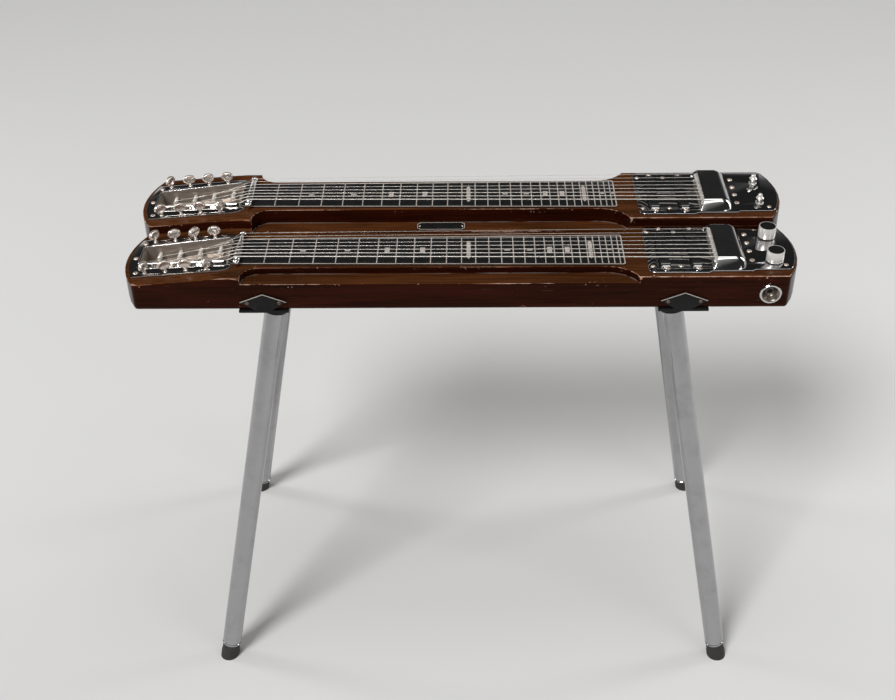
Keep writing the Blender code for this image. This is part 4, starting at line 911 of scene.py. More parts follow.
@dataclass
class Plank:
    """The wooden plank of one neck, with softened corners and its wear measured from them."""

    neck: Neck
    softened: float = 0.0008
    cell: tuple[float, float, float] = (0.012, 0.006, 0.005)

    def build(self) -> None:
        """Copy the plank, soften its corners, divide it and measure how far each point is from a corner."""
        node = f"{self.neck.name}_body"
        shape = node_copy(node)
        corners = self.corner_points(shape, 1, 35.0)
        hollows = self.corner_points(shape, -1, 50.0)
        bevelled(shape, self.softened, 2, 50.0)
        self.divide(shape)
        for name, tree in (("edge_distance", corners), ("hollow_distance", hollows)):
            layer = shape.verts.layers.float.new(name)
            for vertex in shape.verts:
                vertex[layer] = min(tree.find(vertex.co)[2] * 1000.0, 30.0)
        piece(f"{self.neck.name}_plank", shape, WOOD, replaces=[node], smooth=38.0)

    @staticmethod
    def corner_points(shape: bmesh.types.BMesh, sign: int, least: float) -> KDTree:
        """Points along every outward corner of the plank, or every inward one, for quick distances."""
        points = []
        for edge in shape.edges:
            if len(edge.link_faces) != 2 or sign * edge.calc_face_angle_signed(0.0) < math.radians(least):
                continue
            start, end = (v.co for v in edge.verts)
            count = max(1, int((end - start).length / 0.002))
            points += [start.lerp(end, k / count) for k in range(count + 1)]
        tree = KDTree(len(points))
        for index, point in enumerate(points):
            tree.insert(point, index)
        tree.balance()
        return tree

    def divide(self, shape: bmesh.types.BMesh) -> None:
        """Cut the plank's faces on a grid, so that the wear is measured everywhere."""
        low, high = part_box(f"{self.neck.name}_body")
        for axis, cell in enumerate(self.cell):
            normal = Vector((axis == 0, axis == 1, axis == 2))
            count = int((high[axis] - low[axis]) / cell)
            for k in range(1, count):
                spot = normal * (low[axis] + k * (high[axis] - low[axis]) / count + 0.00013)
                geometry = [*shape.verts, *shape.edges, *shape.faces]
                bmesh.ops.bisect_plane(shape, geom=geometry, plane_co=spot, plane_no=normal, dist=0.00001)


@dataclass
class FretPlate:
    """The black plate under the strings, with its printed border, fret lines and position marks."""

    neck: Neck
    border: float = 0.0015
    border_inset: float = 0.0003
    line: float = 0.0012
    print_height: float = 0.00006
    corner: float = 0.0036
    marks: tuple[tuple[int, Marker, int], ...] = (
        (3, Marker.BAR, 1), (5, Marker.BAR, 1), (7, Marker.SQUARE, 1), (9, Marker.SQUARE, 1),
        (12, Marker.LOZENGE, 1), (15, Marker.BAR, 1), (17, Marker.BAR, 1), (19, Marker.SQUARE, 1),
        (21, Marker.SQUARE, 1), (24, Marker.LOZENGE, 1), (27, Marker.BAR, 1), (29, Marker.BAR, 1),
    )

    def build(self) -> None:
        """Paint the plate and lay the print on it."""
        node = f"{self.neck.name}_fretboard"
        board = bevelled(node_copy(node), 0.0002, 1)
        piece(f"{self.neck.name}_plate_black", board, BOARD_PAINT, replaces=[node])
        self.lines()
        piece(f"{self.neck.name}_plate_border", self.frame_shape(), PRINT_WHITE)
        marks = [self.mark(*mark) for mark in self.marks]
        piece(f"{self.neck.name}_plate_marks", together(marks), PRINT_WHITE)

    def half(self, x: float) -> float:
        """Half width of the plate at a given x."""
        neck = self.neck
        share = (x - neck.nut_x) / (neck.fret_x(neck.frets) - neck.nut_x)
        return neck.half_at_nut + (neck.half_at_end - neck.half_at_nut) * share

    def lines(self) -> None:
        """Grow the fret lines by their rule."""
        neck = self.neck
        inner = self.border_inset + self.border / 2
        mesh = fret_tree().grow(bpy.data.meshes.new("nothing"), PRINT_WHITE, {
            "Frets": neck.frets - 1,
            "Scale Length": neck.scale_length,
            "Nut X": neck.nut_x,
            "Line Width": self.line,
            "Depth": 2 * self.print_height,
            "Half At Nut": neck.half_at_nut - inner,
            "Half At End": neck.half_at_end - inner,
            "End X": neck.fret_x(neck.frets),
        })
        mesh.transform(shift(0.0, neck.y, neck.board_top))
        piece(f"{neck.name}_fret_lines", mesh, PRINT_WHITE)

    def loop(self, inset: float) -> Outline:
        """The plate's outline, drawn in by an inset."""
        neck = self.neck
        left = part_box(f"{neck.name}_fretboard")[0].x + inset
        end = neck.fret_x(neck.frets) - inset
        radius = self.corner - inset
        half = self.half(end) - inset
        right = arc((end - radius, -half + radius), radius, -90, 0, 5)
        right += arc((end - radius, half - radius), radius, 0, 90, 5)
        return [(left, -self.half(left) + inset), *right, (left, self.half(left) - inset)]

    def frame_shape(self) -> bmesh.types.BMesh:
        """The printed border as a thin closed frame."""
        neck = self.neck
        shape = bmesh.new()
        rows = []
        for inset in (self.border_inset, self.border_inset + self.border):
            for height in (-self.print_height, self.print_height):
                z = neck.board_top + height
                rows.append([shape.verts.new((x, y + neck.y, z)) for x, y in self.loop(inset)])
        for lower, upper in ((0, 1), (1, 3), (3, 2), (2, 0)):
            for k in range(len(rows[0])):
                after = (k + 1) % len(rows[0])
                shape.faces.new((rows[lower][k], rows[lower][after], rows[upper][after], rows[upper][k]))
        return shape

    def mark(self, fret: int, marker: Marker, _count: int) -> bmesh.types.BMesh:
        """One position mark in the middle of its fret space."""
        neck = self.neck
        x = (neck.fret_x(fret - 1) + neck.fret_x(fret)) / 2
        room = neck.fret_x(fret) - neck.fret_x(fret - 1)
        wide, tall = marker.value
        wide = min(wide, 0.30 * room)
        if marker is Marker.LOZENGE:
            cut = wide * 1.8
            outline = [(x - wide, -tall + cut), (x, -tall), (x + wide, -tall + cut)]
            outline += [(x + wide, tall - cut), (x, tall), (x - wide, tall - cut)]
        else:
            outline = [(x - wide, -tall), (x + wide, -tall), (x + wide, tall), (x - wide, tall)]
        low = neck.board_top - self.print_height
        return moved(prism(outline, low, low + 2 * self.print_height), shift(0.0, neck.y, 0.0))


@dataclass
class NutBar:
    """The round bar that the strings cross at the head, with a ball turned on each end."""

    neck: Neck
    radius: float = 0.0040
    ball: float = 0.0042
    waist: float = 0.0030
    length: float = 0.0730

    @property
    def centre(self) -> Vector:
        """Centre of the bar."""
        return (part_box(f"{self.neck.name}_nut_bar")[0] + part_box(f"{self.neck.name}_nut_bar")[1]) / 2

    def build(self) -> None:
        """Turn the bar and lay it across the plate."""
        half = self.length / 2
        ball = self.ball
        end = [(ball * math.sin(a * math.pi / 14), half - ball + ball * math.cos(a * math.pi / 14)) for a in range(12)]
        side = [(self.waist, half - 1.75 * ball), (self.waist, half - 2 * ball)]
        side += [(self.radius - 0.0004, half - 2.1 * ball), (self.radius, half - 2.25 * ball)]
        profile = end + side + [(r, -z) for r, z in reversed(side)] + [(r, -z) for r, z in reversed(end)]
        bar = moved(lathe(profile, 40), Matrix.Translation(self.centre) @ Matrix.Rotation(math.pi / 2, 4, "X"))
        name = self.neck.name
        piece(f"{name}_nut", bar, CHROME, replaces=[f"{name}_nut_bar"])


@dataclass
class TunerPan:
    """The pressed pan of one head, with the screws that hold its flange."""

    neck: Neck
    screw_inset_end: float = 0.1246
    screw_inset_side: float = 0.1185
    screw_half: float = 0.0335
    flange_top: float = 0.0018
    bead_far: float = 0.0008
    bead_near: float = 0.0013

    def build(self) -> None:
        """Dress the pan and set its screws."""
        name = self.neck.name
        pan = bevelled(node_copy(f"{name}_tuner_pan"), 0.0005, 2, 60.0)
        self.mark_inside(pan)
        self.lip(pan)
        piece(f"{name}_pan", pan, PAN_METAL, replaces=[f"{name}_tuner_pan"])
        head = self.neck.head
        up = head.to_3x3() @ Vector((0.0, 0.0, 1.0))
        spots = ((-self.screw_inset_end, 0.0), (-self.screw_inset_side, self.screw_half),
                 (-self.screw_inset_side, -self.screw_half))
        places = [
            ScrewPlace(head @ Vector((x, y, self.flange_top)), up, 0.7 * index + 0.4)
            for index, (x, y) in enumerate(spots)
        ]
        screws(f"{name}_pan_screws", places, 0.95)

    def lip(self, pan: bmesh.types.BMesh) -> None:
        """Roll a bright bead along the ridge of the lip, heavier on the player's side."""
        head = self.neck.head
        flat = head.inverted()
        spots = [flat @ vertex.co for vertex in pan.verts]
        top = max(spot.z for spot in spots)
        ridge = [spot for spot in spots if spot.z > top - 0.0008]
        left, right = min(spot.x for spot in ridge), max(spot.x for spot in ridge) - 0.0030
        near_left = max(abs(spot.y) for spot in ridge if spot.x < left + 0.004)
        near_right = max(abs(spot.y) for spot in ridge if spot.x > right)
        corner = 0.0026
        beads = []
        for side, radius in ((1, self.bead_far), (-1, self.bead_near)):
            inset = radius * 0.6
            start, end = near_left - inset, near_right - inset
            path = [(left + inset, 0.0)]
            path += [(left + inset + corner - x, start - corner + y) for x, y in arc((0.0, 0.0), corner, 0, 90, 5)]
            path += [(left + (right - left) * k / 8, start + (end - start) * k / 8) for k in range(1, 9)]
            points = [head @ Vector((x, side * y, top - 0.4 * radius)) for x, y in path]
            beads.append(sweep(points, radius, 14))
        piece(f"{self.neck.name}_pan_lip", together(beads), CHROME, smooth=60.0)

    def mark_inside(self, pan: bmesh.types.BMesh) -> None:
        """Mark the faces below the flange, which are duller than the polished flange and lip."""
        flat = self.neck.head.inverted()
        layer = pan.faces.layers.float.new("inside")
        for face in pan.faces:
            face[layer] = float((flat @ face.calc_center_median()).z < self.flange_top - 0.0006)


@dataclass
class TuningKey:
    """One tuning key: an oval button on a shaft, a collar on the flange and the worm below it."""

    neck: Neck
    number: int
    turn: float
    half_width: float = 0.00825
    half_height: float = 0.0061
    half_depth: float = 0.0024
    taper: float = 0.09
    button_height: float = 0.0119
    shaft: float = 0.0015
    collar: float = 0.0025
    collar_low: float = 0.0021
    collar_height: float = 0.0010
    worm_z: float = -0.0064
    worm_pitch: float = 0.0024
    worm_root: float = 0.0017
    worm_crest: float = 0.0028
    worm_turns: int = 2
    bottom: float = -0.0152

    def build(self) -> None:
        """Make the key in its own frame, turn it and put it on its joint."""
        name = f"{self.neck.name}_key_{self.number}"
        place = self.neck.joint_place(f"key_{self.number}_turn")
        spin = Matrix.Rotation(self.neck.slope * -1, 4, "Y") @ Matrix.Rotation(math.radians(self.turn), 4, "Z")
        shape = together([self.stem(), self.worm(), self.button()])
        moved(shape, Matrix.Translation(place) @ spin)
        piece(f"{name}_button", shape, NICKEL, body=name, replaces=[name])

    def stem(self) -> bmesh.types.BMesh:
        """The shaft with its collar and the neck under the button."""
        top = self.collar_low + self.collar_height
        under = self.button_height - self.half_height
        profile = [
            (0.0, self.bottom),
            (self.shaft, self.bottom),
            (self.shaft, self.collar_low),
            (self.collar, self.collar_low),
            (self.collar, top - 0.0004),
            (self.collar - 0.0004, top),
            (self.shaft + 0.0003, top),
            (self.shaft, top + 0.0006),
            (self.shaft, under - 0.0008),
            (self.shaft + 0.0007, under + 0.0006),
            (self.shaft + 0.0005, under + 0.0022),
            (0.0, under + 0.0030),
        ]
        return lathe(profile, 20)

    def button(self) -> bmesh.types.BMesh:
        """The button: a rounded shield that narrows to the shaft, dished inside a round rim."""
        depth = self.half_depth
        rim = [(0.0, 0.58), (0.30, 0.60), (0.52, 0.70), (0.70, 0.96), (0.80, 1.0), (0.90, 0.86), (0.97, 0.50)]
        profile = [(radius, -share * depth) for radius, share in rim]
        profile += [(1.0, 0.0)] + [(radius, share * depth) for radius, share in reversed(rim)]
        shape = lathe(profile, 40)
        for vertex in shape.verts:
            below = max(-vertex.co.y, 0.0)
            vertex.co.x *= 1.0 - self.taper * below ** 1.5
            vertex.co.y = max(vertex.co.y, -0.96)
        oval = Matrix.Diagonal((self.half_width, self.half_height, 1.0, 1.0))
        upright = Matrix.Rotation(math.pi / 2, 4, "X")
        return moved(shape, shift(0.0, 0.0, self.button_height) @ upright @ oval)

    def worm(self) -> bmesh.types.BMesh:
        """The worm's thread about the shaft."""
        sides = 18
        sections = sides * self.worm_turns
        profile = ((-0.28, self.worm_root), (-0.06, self.worm_crest), (0.06, self.worm_crest), (0.28, self.worm_root))
        shape = bmesh.new()
        rows = []
        for step in range(sections + 1):
            angle = 2 * math.pi * step / sides
            lift = self.worm_z + self.worm_pitch * (step / sides - self.worm_turns / 2)
            rows.append([
                shape.verts.new((r * math.cos(angle), r * math.sin(angle), lift + self.worm_pitch * share))
                for share, r in profile
            ])
        for first, second in zip(rows, rows[1:]):
            for k in range(len(profile)):
                after = (k + 1) % len(profile)
                shape.faces.new((first[k], first[after], second[after], second[k]))
        shape.faces.new(rows[0])
        shape.faces.new(rows[-1])
        core = lathe([(0.0, self.worm_z - 0.0030), (self.worm_root, self.worm_z - 0.0030),
                      (self.worm_root, self.worm_z + 0.0030), (0.0, self.worm_z + 0.0030)], 18)
        return together([shape, core])


@dataclass
class StringPost:
    """One string post with its worm wheel, and the turns of string that are wound on it."""

    neck: Neck
    number: int
    turn: float
    wheel_teeth: int = 14
    wheel_tip: float = 0.00585
    wheel_root: float = 0.0040
    wheel_half: float = 0.0009
    stub: float = 0.0038
    stub_radius: float = 0.0015
    row_y: float = 0.0360
    tip_from_centre: float = 0.0062
    string_from_centre: tuple[float, ...] = (0.0085, 0.0115, 0.0160, 0.0215)

    @property
    def side(self) -> int:
        """-1 for the row on the player's side and +1 for the other."""
        return -1 if self.number <= 4 else 1

    @property
    def order(self) -> int:
        """Which string this post takes, counted from the player's side."""
        index = (self.number - 1) % 4
        return 3 - index if self.side < 0 else 4 + index

    def build(self) -> None:
        """Make the post and its winding in its own frame, and put both on its joint."""
        name = f"{self.neck.name}_post_{self.number}"
        place = self.neck.joint_place(f"post_{self.number}_turn")
        tilt = Matrix.Rotation(-self.neck.slope, 4, "Y")
        flip = Matrix.Rotation(0.0 if self.side < 0 else math.pi, 4, "X")
        spin = Matrix.Rotation(math.radians(-self.turn / self.wheel_teeth), 4, "Y")
        lay = Matrix.Rotation(-math.pi / 2, 4, "X")
        matrix = Matrix.Translation(place) @ tilt @ spin @ flip @ lay
        shape = moved(together([self.wheel(), self.shaft()]), matrix)
        piece(f"{name}_steel", shape, POST_METAL, body=name, replaces=[name])
        self.winding(name, Matrix.Translation(place) @ tilt @ spin)

    def wheel(self) -> bmesh.types.BMesh:
        """The worm wheel, with a tooth space facing the worm."""
        outline = []
        for half_tooth in range(2 * self.wheel_teeth):
            middle = math.pi + math.pi * half_tooth / self.wheel_teeth
            radius = self.wheel_tip if half_tooth % 2 else self.wheel_root
            spread = 0.04 if half_tooth % 2 else 0.05
            for angle in (middle - spread, middle + spread):
                outline.append((radius * math.cos(angle), radius * math.sin(angle)))
        return prism(outline, -self.wheel_half, self.wheel_half)

    def shaft(self) -> bmesh.types.BMesh:
        """The post from its stub in the outer wall to its rounded tip."""
        tip = self.row_y - self.tip_from_centre
        radius = self.neck.post_radius
        profile = [
            (0.0, -self.stub),
            (self.stub_radius, -self.stub),
            (self.stub_radius, 0.0),
            (radius, 0.0),
            (radius, tip - 0.0010),
            (radius - 0.0003, tip - 0.0003),
            (radius - 0.0010, tip),
            (0.0, tip),
        ]
        return lathe(profile, 24)

    def winding(self, name: str, matrix: Matrix) -> None:
        """Wind the string's end on the post, as far out as the string comes down on it."""
        wire = self.neck.gauges[self.order] * 0.0005
        row = self.order if self.side < 0 else 7 - self.order
        at = self.string_from_centre[3 - row]
        turns = 3.0
        pitch = 2.15 * wire
        values = {
            "Turns": turns,
            "Radius": self.neck.post_radius + wire + 0.00005,
            "Height": turns * pitch,
            "Wire Radius": wire,
        }
        mesh = coil_tree().grow(bpy.data.meshes.new("nothing"), STEEL, values)
        outward = self.side * (at - self.row_y)
        lay = Matrix.Rotation(math.pi / 2 * self.side, 4, "X")
        mesh.transform(matrix @ shift(0.0, outward, 0.0) @ lay)
        piece(f"{name}_winding", mesh, STEEL, body=name, smooth=60.0)


@dataclass
class StringSet:
    """The eight strings of a neck, from the anchor over the bridge and the nut to their posts."""

    neck: Neck
    spread_nut: float = 0.0545
    spread_bridge: float = 0.0668
    bridge_x: float = 0.3055
    anchor_x: float = 0.3310
    anchor_height: float = 0.0060
    post_drop: float = 0.0064
    nut_radius: float = 0.0040
    at_post: tuple[float, ...] = (0.0215, 0.0160, 0.0115, 0.0085)

    def build(self) -> None:
        """String the neck: the thicker strings wound, the thinner ones plain."""
        neck = self.neck
        runs = [sweep(self.path(order), gauge * 0.0005, 10) for order, gauge in enumerate(neck.gauges)]
        piece(f"{neck.name}_wound_strings", together(runs[:neck.wound]), WOUND, smooth=60.0)
        piece(f"{neck.name}_plain_strings", together(runs[neck.wound:]), STEEL, smooth=60.0)

    def height(self, radius: float) -> float:
        """Height of a string's centre line between the nut and the bridge."""
        return NutBar(self.neck).centre.z + self.nut_radius + self.neck.gap + radius

    def path(self, order: int) -> list[Vector]:
        """Points of one string.

        Args:
            order: the string's number from the player's side.

        Returns:
            Its points, with an arc over the nut and over the bridge.
        """
        neck = self.neck
        radius = neck.gauges[order] * 0.0005
        spread = order / (len(neck.gauges) - 1) - 0.5
        side = -1 if spread < 0 else 1
        inward = order if side < 0 else len(neck.gauges) - 1 - order
        post = neck.joint_place(f"post_{(4 - inward) if side < 0 else (8 - inward)}_turn")
        lift = Matrix.Rotation(-neck.slope, 3, "Y") @ Vector((0.0, 0.0, neck.post_radius + neck.gap + radius))
        end = Vector((post.x, neck.y + side * self.at_post[inward], post.z)) + lift
        z = self.height(radius)
        nut = Vector((neck.nut_x, neck.y + spread * self.spread_nut, z))
        bridge = Vector((self.bridge_x, neck.y + spread * self.spread_bridge, z))
        anchor = Vector((self.anchor_x, bridge.y, neck.plate_top + neck.gap + self.anchor_height - 0.0015))
        bend = self.nut_radius + neck.gap + 2 * radius
        fall = math.atan2(nut.z - end.z, nut.x - end.x)
        over = []
        for k in range(5):
            angle = fall * k / 4
            over.append(nut + Vector((-bend * math.sin(angle), 0.0, -bend * (1 - math.cos(angle)))))
        steps = [bridge.lerp(nut, k / 8) for k in range(1, 8)]
        return [anchor, bridge + Vector((0.0012, 0.0, -0.0002)), bridge - Vector((0.0012, 0.0, 0.0)), *steps, *over, end]


@dataclass
class Bridge:
    """The bridge bar on its two feet and the strip that the strings' ball ends are hooked in."""

    neck: Neck
    x: float = 0.3055
    radius: float = 0.0032
    half: float = 0.0355
    foot_y: float = 0.0300
    foot: float = 0.0025
    anchor_x: float = 0.3310
    anchor_half: float = 0.0350

    def build(self) -> None:
        """Make the bar, the feet, the strip and the ball ends."""
        neck = self.neck
        name = neck.name
        base = neck.plate_top + neck.gap
        strings = StringSet(neck)
        thick = max(neck.gauges) * 0.0005
        bar_z = strings.height(thick) - thick - self.radius + 0.0002
        end = [(self.radius * math.cos(a), self.half - 0.0006 + 0.0006 * math.sin(a)) for a in (0.0, 0.8, 1.5)]
        profile = [(0.0, self.half)] + list(reversed(end)) + [(r, -z) for r, z in end] + [(0.0, -self.half)]
        bar = moved(lathe(profile, 32), shift(self.x, neck.y, bar_z) @ Matrix.Rotation(math.pi / 2, 4, "X"))
        feet = []
        for side in (-1, 1):
            y = neck.y + side * self.foot_y
            low = (self.x - self.foot, y - self.foot, base)
            feet.append(bevelled(block(low, (self.x + self.foot, y + self.foot, bar_z)), 0.0004))
        low = (self.anchor_x - 0.0020, neck.y - self.anchor_half, base)
        high = (self.anchor_x + 0.0020, neck.y + self.anchor_half, base + 0.0060)
        strip = bevelled(block(low, high), 0.0005)
        balls = []
        for order, gauge in enumerate(neck.gauges):
            y = neck.y + (order / 7 - 0.5) * strings.spread_bridge
            ring = [(0.0018 * math.sin(k * math.pi / 8), -0.0018 * math.cos(k * math.pi / 8)) for k in range(9)]
            ring[0] = (0.0, ring[0][1])
            ring[-1] = (0.0, ring[-1][1])
            balls.append(moved(lathe(ring, 12), shift(self.anchor_x + 0.0030, y, base + 0.0042)))
        parts = together([bar, *feet, strip, *balls])
        piece(f"{name}_bridge", parts, STEEL, replaces=[f"{name}_bridge_and_strings"])


@dataclass
class PickupPair:
    """The two narrow pickups with the bright ears that hold their ends."""

    neck: Neck
    centres: tuple[float, float] = (0.2440, 0.2815)
    half_width: float = 0.0058
    half_length: float = 0.0370
    corner: float = 0.0020
    top: float = 0.0052
    ear_shift: float = 0.0009
    ear_reach: float = 0.0487
    ear_half: float = 0.0044
    ear_thickness: float = 0.0009
    ear_screw: float = 0.0445
    cheek_thickness: float = 0.0010
    cheek_height: float = 0.0038

    def build(self) -> None:
        """Make the coils' covers above the plate, keep what is below it, and add the ears and screws."""
        neck = self.neck
        name = neck.name
        low = neck.top + neck.gap
        bars = [bevelled(prism(self.bar_outline(x), low, neck.top + self.top), 0.0007, 3) for x in self.centres]
        piece(f"{name}_pickup_covers", together([*bars, self.underside(low)]), COIL_BLACK,
              replaces=[f"{name}_pickups"])
        ears, places = [], []
        rise = neck.gap + self.ear_thickness
        for centre in self.centres:
            for side in (-1, 1):
                x = centre + self.ear_shift
                ears += self.ear(x, side)
                point = Vector((x, neck.y + side * self.ear_screw, neck.plate_top + rise))
                places.append(ScrewPlace(point, Vector((0.0, 0.0, 1.0)), centre * 90 + side))
        piece(f"{name}_pickup_ears", together(ears), CHROME)
        screws(f"{name}_ear_screws", places, 0.85)

    def bar_outline(self, x: float) -> Outline:
        """The outline of one cover, with round corners."""
        right, end, radius = self.half_width, self.half_length, self.corner
        points = arc((right - radius, -end + radius), radius, -90, 0, 5)
        points += arc((right - radius, end - radius), radius, 0, 90, 5)
        points += arc((radius - right, end - radius), radius, 90, 180, 5)
        points += arc((radius - right, -end + radius), radius, 180, 270, 5)
        return [(x + a, self.neck.y + b) for a, b in points]

    def underside(self, height: float) -> bmesh.types.BMesh:
        """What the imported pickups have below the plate: their lower halves and the carrier."""
        shape = node_copy(f"{self.neck.name}_pickups")
        geometry = [*shape.verts, *shape.edges, *shape.faces]
        cut = bmesh.ops.bisect_plane(shape, geom=geometry, plane_co=(0.0, 0.0, height - 0.0001),
                                     plane_no=(0.0, 0.0, 1.0), clear_outer=True)
        rim = [item for item in cut["geom_cut"] if isinstance(item, bmesh.types.BMEdge)]
        bmesh.ops.edgenet_fill(shape, edges=rim)
        return shape

    def ear(self, x: float, side: int) -> list[bmesh.types.BMesh]:
        """One ear: a flat tab under the screw and the curved lip that rises at the pickup's end."""
        neck = self.neck
        half, tip, near = self.ear_half, self.ear_reach, self.half_length
        tab = arc((x, tip - half), half, 0, 180, 12)
        tab = [(x + half, near + 0.0006), *tab, (x - half, near + 0.0006)]
        tab = [(a, neck.y + side * b) for a, b in tab]
        base = neck.plate_top + neck.gap
        flat = bevelled(prism(tab, base, base + self.ear_thickness), 0.0003, 2)
        top = neck.plate_top + self.cheek_height
        thick = self.cheek_thickness
        lip = [(near + 0.0001, base), (near + 0.0001, top - 0.0003), (near + 0.0004, top), (near + 0.0008, top)]
        lip += [(near + thick, top - 0.0004), (near + thick + 0.0002, base + 0.0016), (near + thick + 0.0009, base + 0.0009)]
        lip += [(near + thick + 0.0014, base)]
        cheek = self.half_width - 0.0008
        rows = [[(x + along, neck.y + side * b, z) for b, z in lip] for along in (-cheek, cheek)]
        return [flat, bevelled(loft(rows), 0.0003, 2)]


@dataclass
class ControlPlate:
    """The mirror-bright control plate with its screws."""

    neck: Neck
    screw_side: float = 0.0390
    screw_x: tuple[float, float] = (0.2295, 0.2628)
    tail_screw: tuple[float, float] = (0.3870, -0.0370)
    row_x: float = 0.3485
    row_y: tuple[float, ...] = (0.0325, 0.0129, -0.0061, -0.0264)

    def build(self) -> None:
        """Dress the plate and set its screws."""
        neck = self.neck
        name = neck.name
        plate = bevelled(node_copy(f"{name}_control_plate"), 0.0006, 2, 60.0)
        piece(f"{name}_mirror_plate", plate, MIRROR, replaces=[f"{name}_control_plate"])
        spots = [(x, side * self.screw_side) for x in self.screw_x for side in (-1, 1)]
        spots.append(self.tail_screw)
        screws(f"{name}_plate_screws", self.places(spots), 0.85)
        screws(f"{name}_row_screws", self.places([(self.row_x, y) for y in self.row_y]), 1.0)

    def places(self, spots: Sequence[tuple[float, float]]) -> list[ScrewPlace]:
        """Places of screws on the plate, each with its slot turned its own way."""
        neck = self.neck
        up = Vector((0.0, 0.0, 1.0))
        return [
            ScrewPlace(Vector((x, neck.y + y, neck.plate_top)), up, 2.4 * index + 0.3)
            for index, (x, y) in enumerate(spots)
        ]


@dataclass
class BridgeCover:
    """The pressed cover over the bridge: curved flanks, a rolled tail side and an open front."""

    neck: Neck
    left: float = 0.3000
    left_top: float = 0.3055
    roll_start: float = 0.3280
    roll_run: float = 0.0123
    base_half: float = 0.0486
    top_half: float = 0.0370
    base_corner: float = 0.0120
    top_corner: float = 0.0020
    wall: float = 0.0010
    top: float = 0.0138
    levels: int = 14
    softness: float = 0.20

    def build(self) -> None:
        """Loft the shell's outside and inside and join them round the open front."""
        neck = self.neck
        outer, inner = [], []
        for k in range(self.levels + 1):
            angle = math.pi / 2 * k / self.levels
            outer.append(self.level(angle, 0.0))
            inner.append(self.level(angle, self.wall))
        shape = bmesh.new()
        skins = []
        for rows in (outer, inner):
            made = [[shape.verts.new(corner) for corner in row] for row in rows]
            for lower, upper in zip(made, made[1:]):
                for k in range(len(lower) - 1):
                    shape.faces.new((lower[k], lower[k + 1], upper[k + 1], upper[k]))
            shape.faces.new(made[-1])
            skins.append(made)
        rims = [[row[0] for row in skin] + [row[-1] for row in reversed(skin)] for skin in skins]
        for first, second in zip(*(zip(rim, rim[1:]) for rim in rims)):
            shape.faces.new((*first, *reversed(second)))
        for k in range(len(outer[0]) - 1):
            shape.faces.new((skins[0][0][k], skins[0][0][k + 1], skins[1][0][k + 1], skins[1][0][k]))
        moved(shape, shift(0.0, neck.y, neck.top))
        bmesh.ops.recalc_face_normals(shape, faces=shape.faces)
        bevelled(shape, 0.0004, 2, 42.0)
        name = neck.name
        piece(f"{name}_cover", shape, CHROME, replaces=[f"{name}_bridge_cover"])

    def level(self, angle: float, inset: float) -> list[Place]:
        """One outline of the shell, from the open front round the tail and back.

        Args:
            angle: how far up the quarter round of the flanks it lies, in radians.
            inset: how far the outline is drawn in.

        Returns:
            The outline's points.
        """
        rise, run = math.sin(angle), math.cos(angle)
        base = self.neck.plate_top + self.neck.gap - self.neck.top
        z = base + (self.top - inset - base) * rise
        drawn = (1.0 - self.softness) * rise + self.softness * (1.0 - run)
        half = self.base_half + (self.top_half - self.base_half) * drawn - inset
        left = self.left + (self.left_top - self.left) * rise
        right = self.roll_start + (self.roll_run - inset) * run
        radius = self.top_corner + (self.base_corner - self.top_corner) * run - inset
        near = arc((right - radius, -half + radius), radius, -90, 0, 8)
        far = arc((right - radius, half - radius), radius, 0, 90, 8)
        return [(x, y, z) for x, y in [(left, -half), *near, *far, (left, half)]]


@dataclass
class Knob:
    """A turned control knob: a satin side with a groove, and a mirror top inside a bright rim."""

    name: str
    radius: float = 0.0105
    edge: float = 0.0009
    lift: float = 0.0008
    groove_height: float = 0.0022
    shaft: float = 0.0030

    def build(self) -> None:
        """Turn the knob on its own joint's axis."""
        low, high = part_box(self.name)
        joint = next(j for j in frame["joints"] if j["name"] == f"{self.name}_turn")
        place = Vector(joint["pos_m"])
        base = NECKS[0].plate_top - place.z + self.lift
        top = high.z - place.z
        radius, edge = self.radius, self.edge
        groove = base + self.groove_height
        profile = [
            (0.0, low.z - place.z),
            (self.shaft, low.z - place.z),
            (self.shaft, base),
            (radius - 0.0006, base),
            (radius, base + 0.0006),
            (radius, groove),
            (radius - 0.0006, groove + 0.0002),
            (radius - 0.0006, groove + 0.0005),
            (radius, groove + 0.0007),
            (radius, top - edge),
            (radius - 0.3 * edge, top - 0.3 * edge),
            (radius - 0.9 * edge, top - 0.0002),
            (0.0, top - 0.0004),
        ]
        side = moved(lathe(profile, 72), Matrix.Translation(place))
        piece(f"{self.name}_satin", side, KNOB_SATIN, body=self.name, replaces=[self.name])
        inside = radius - 0.8 * edge
        cap = [(0.0, top - 0.0005), (inside, top - 0.0005), (inside, top - 0.0003), (inside - 0.0009, top - 0.0001)]
        cap += [(0.5 * inside, top - 0.00005), (0.0, top - 0.00002)]
        shape = moved(lathe(cap, 72), Matrix.Translation(place))
        piece(f"{self.name}_cap", shape, MIRROR, body=self.name)


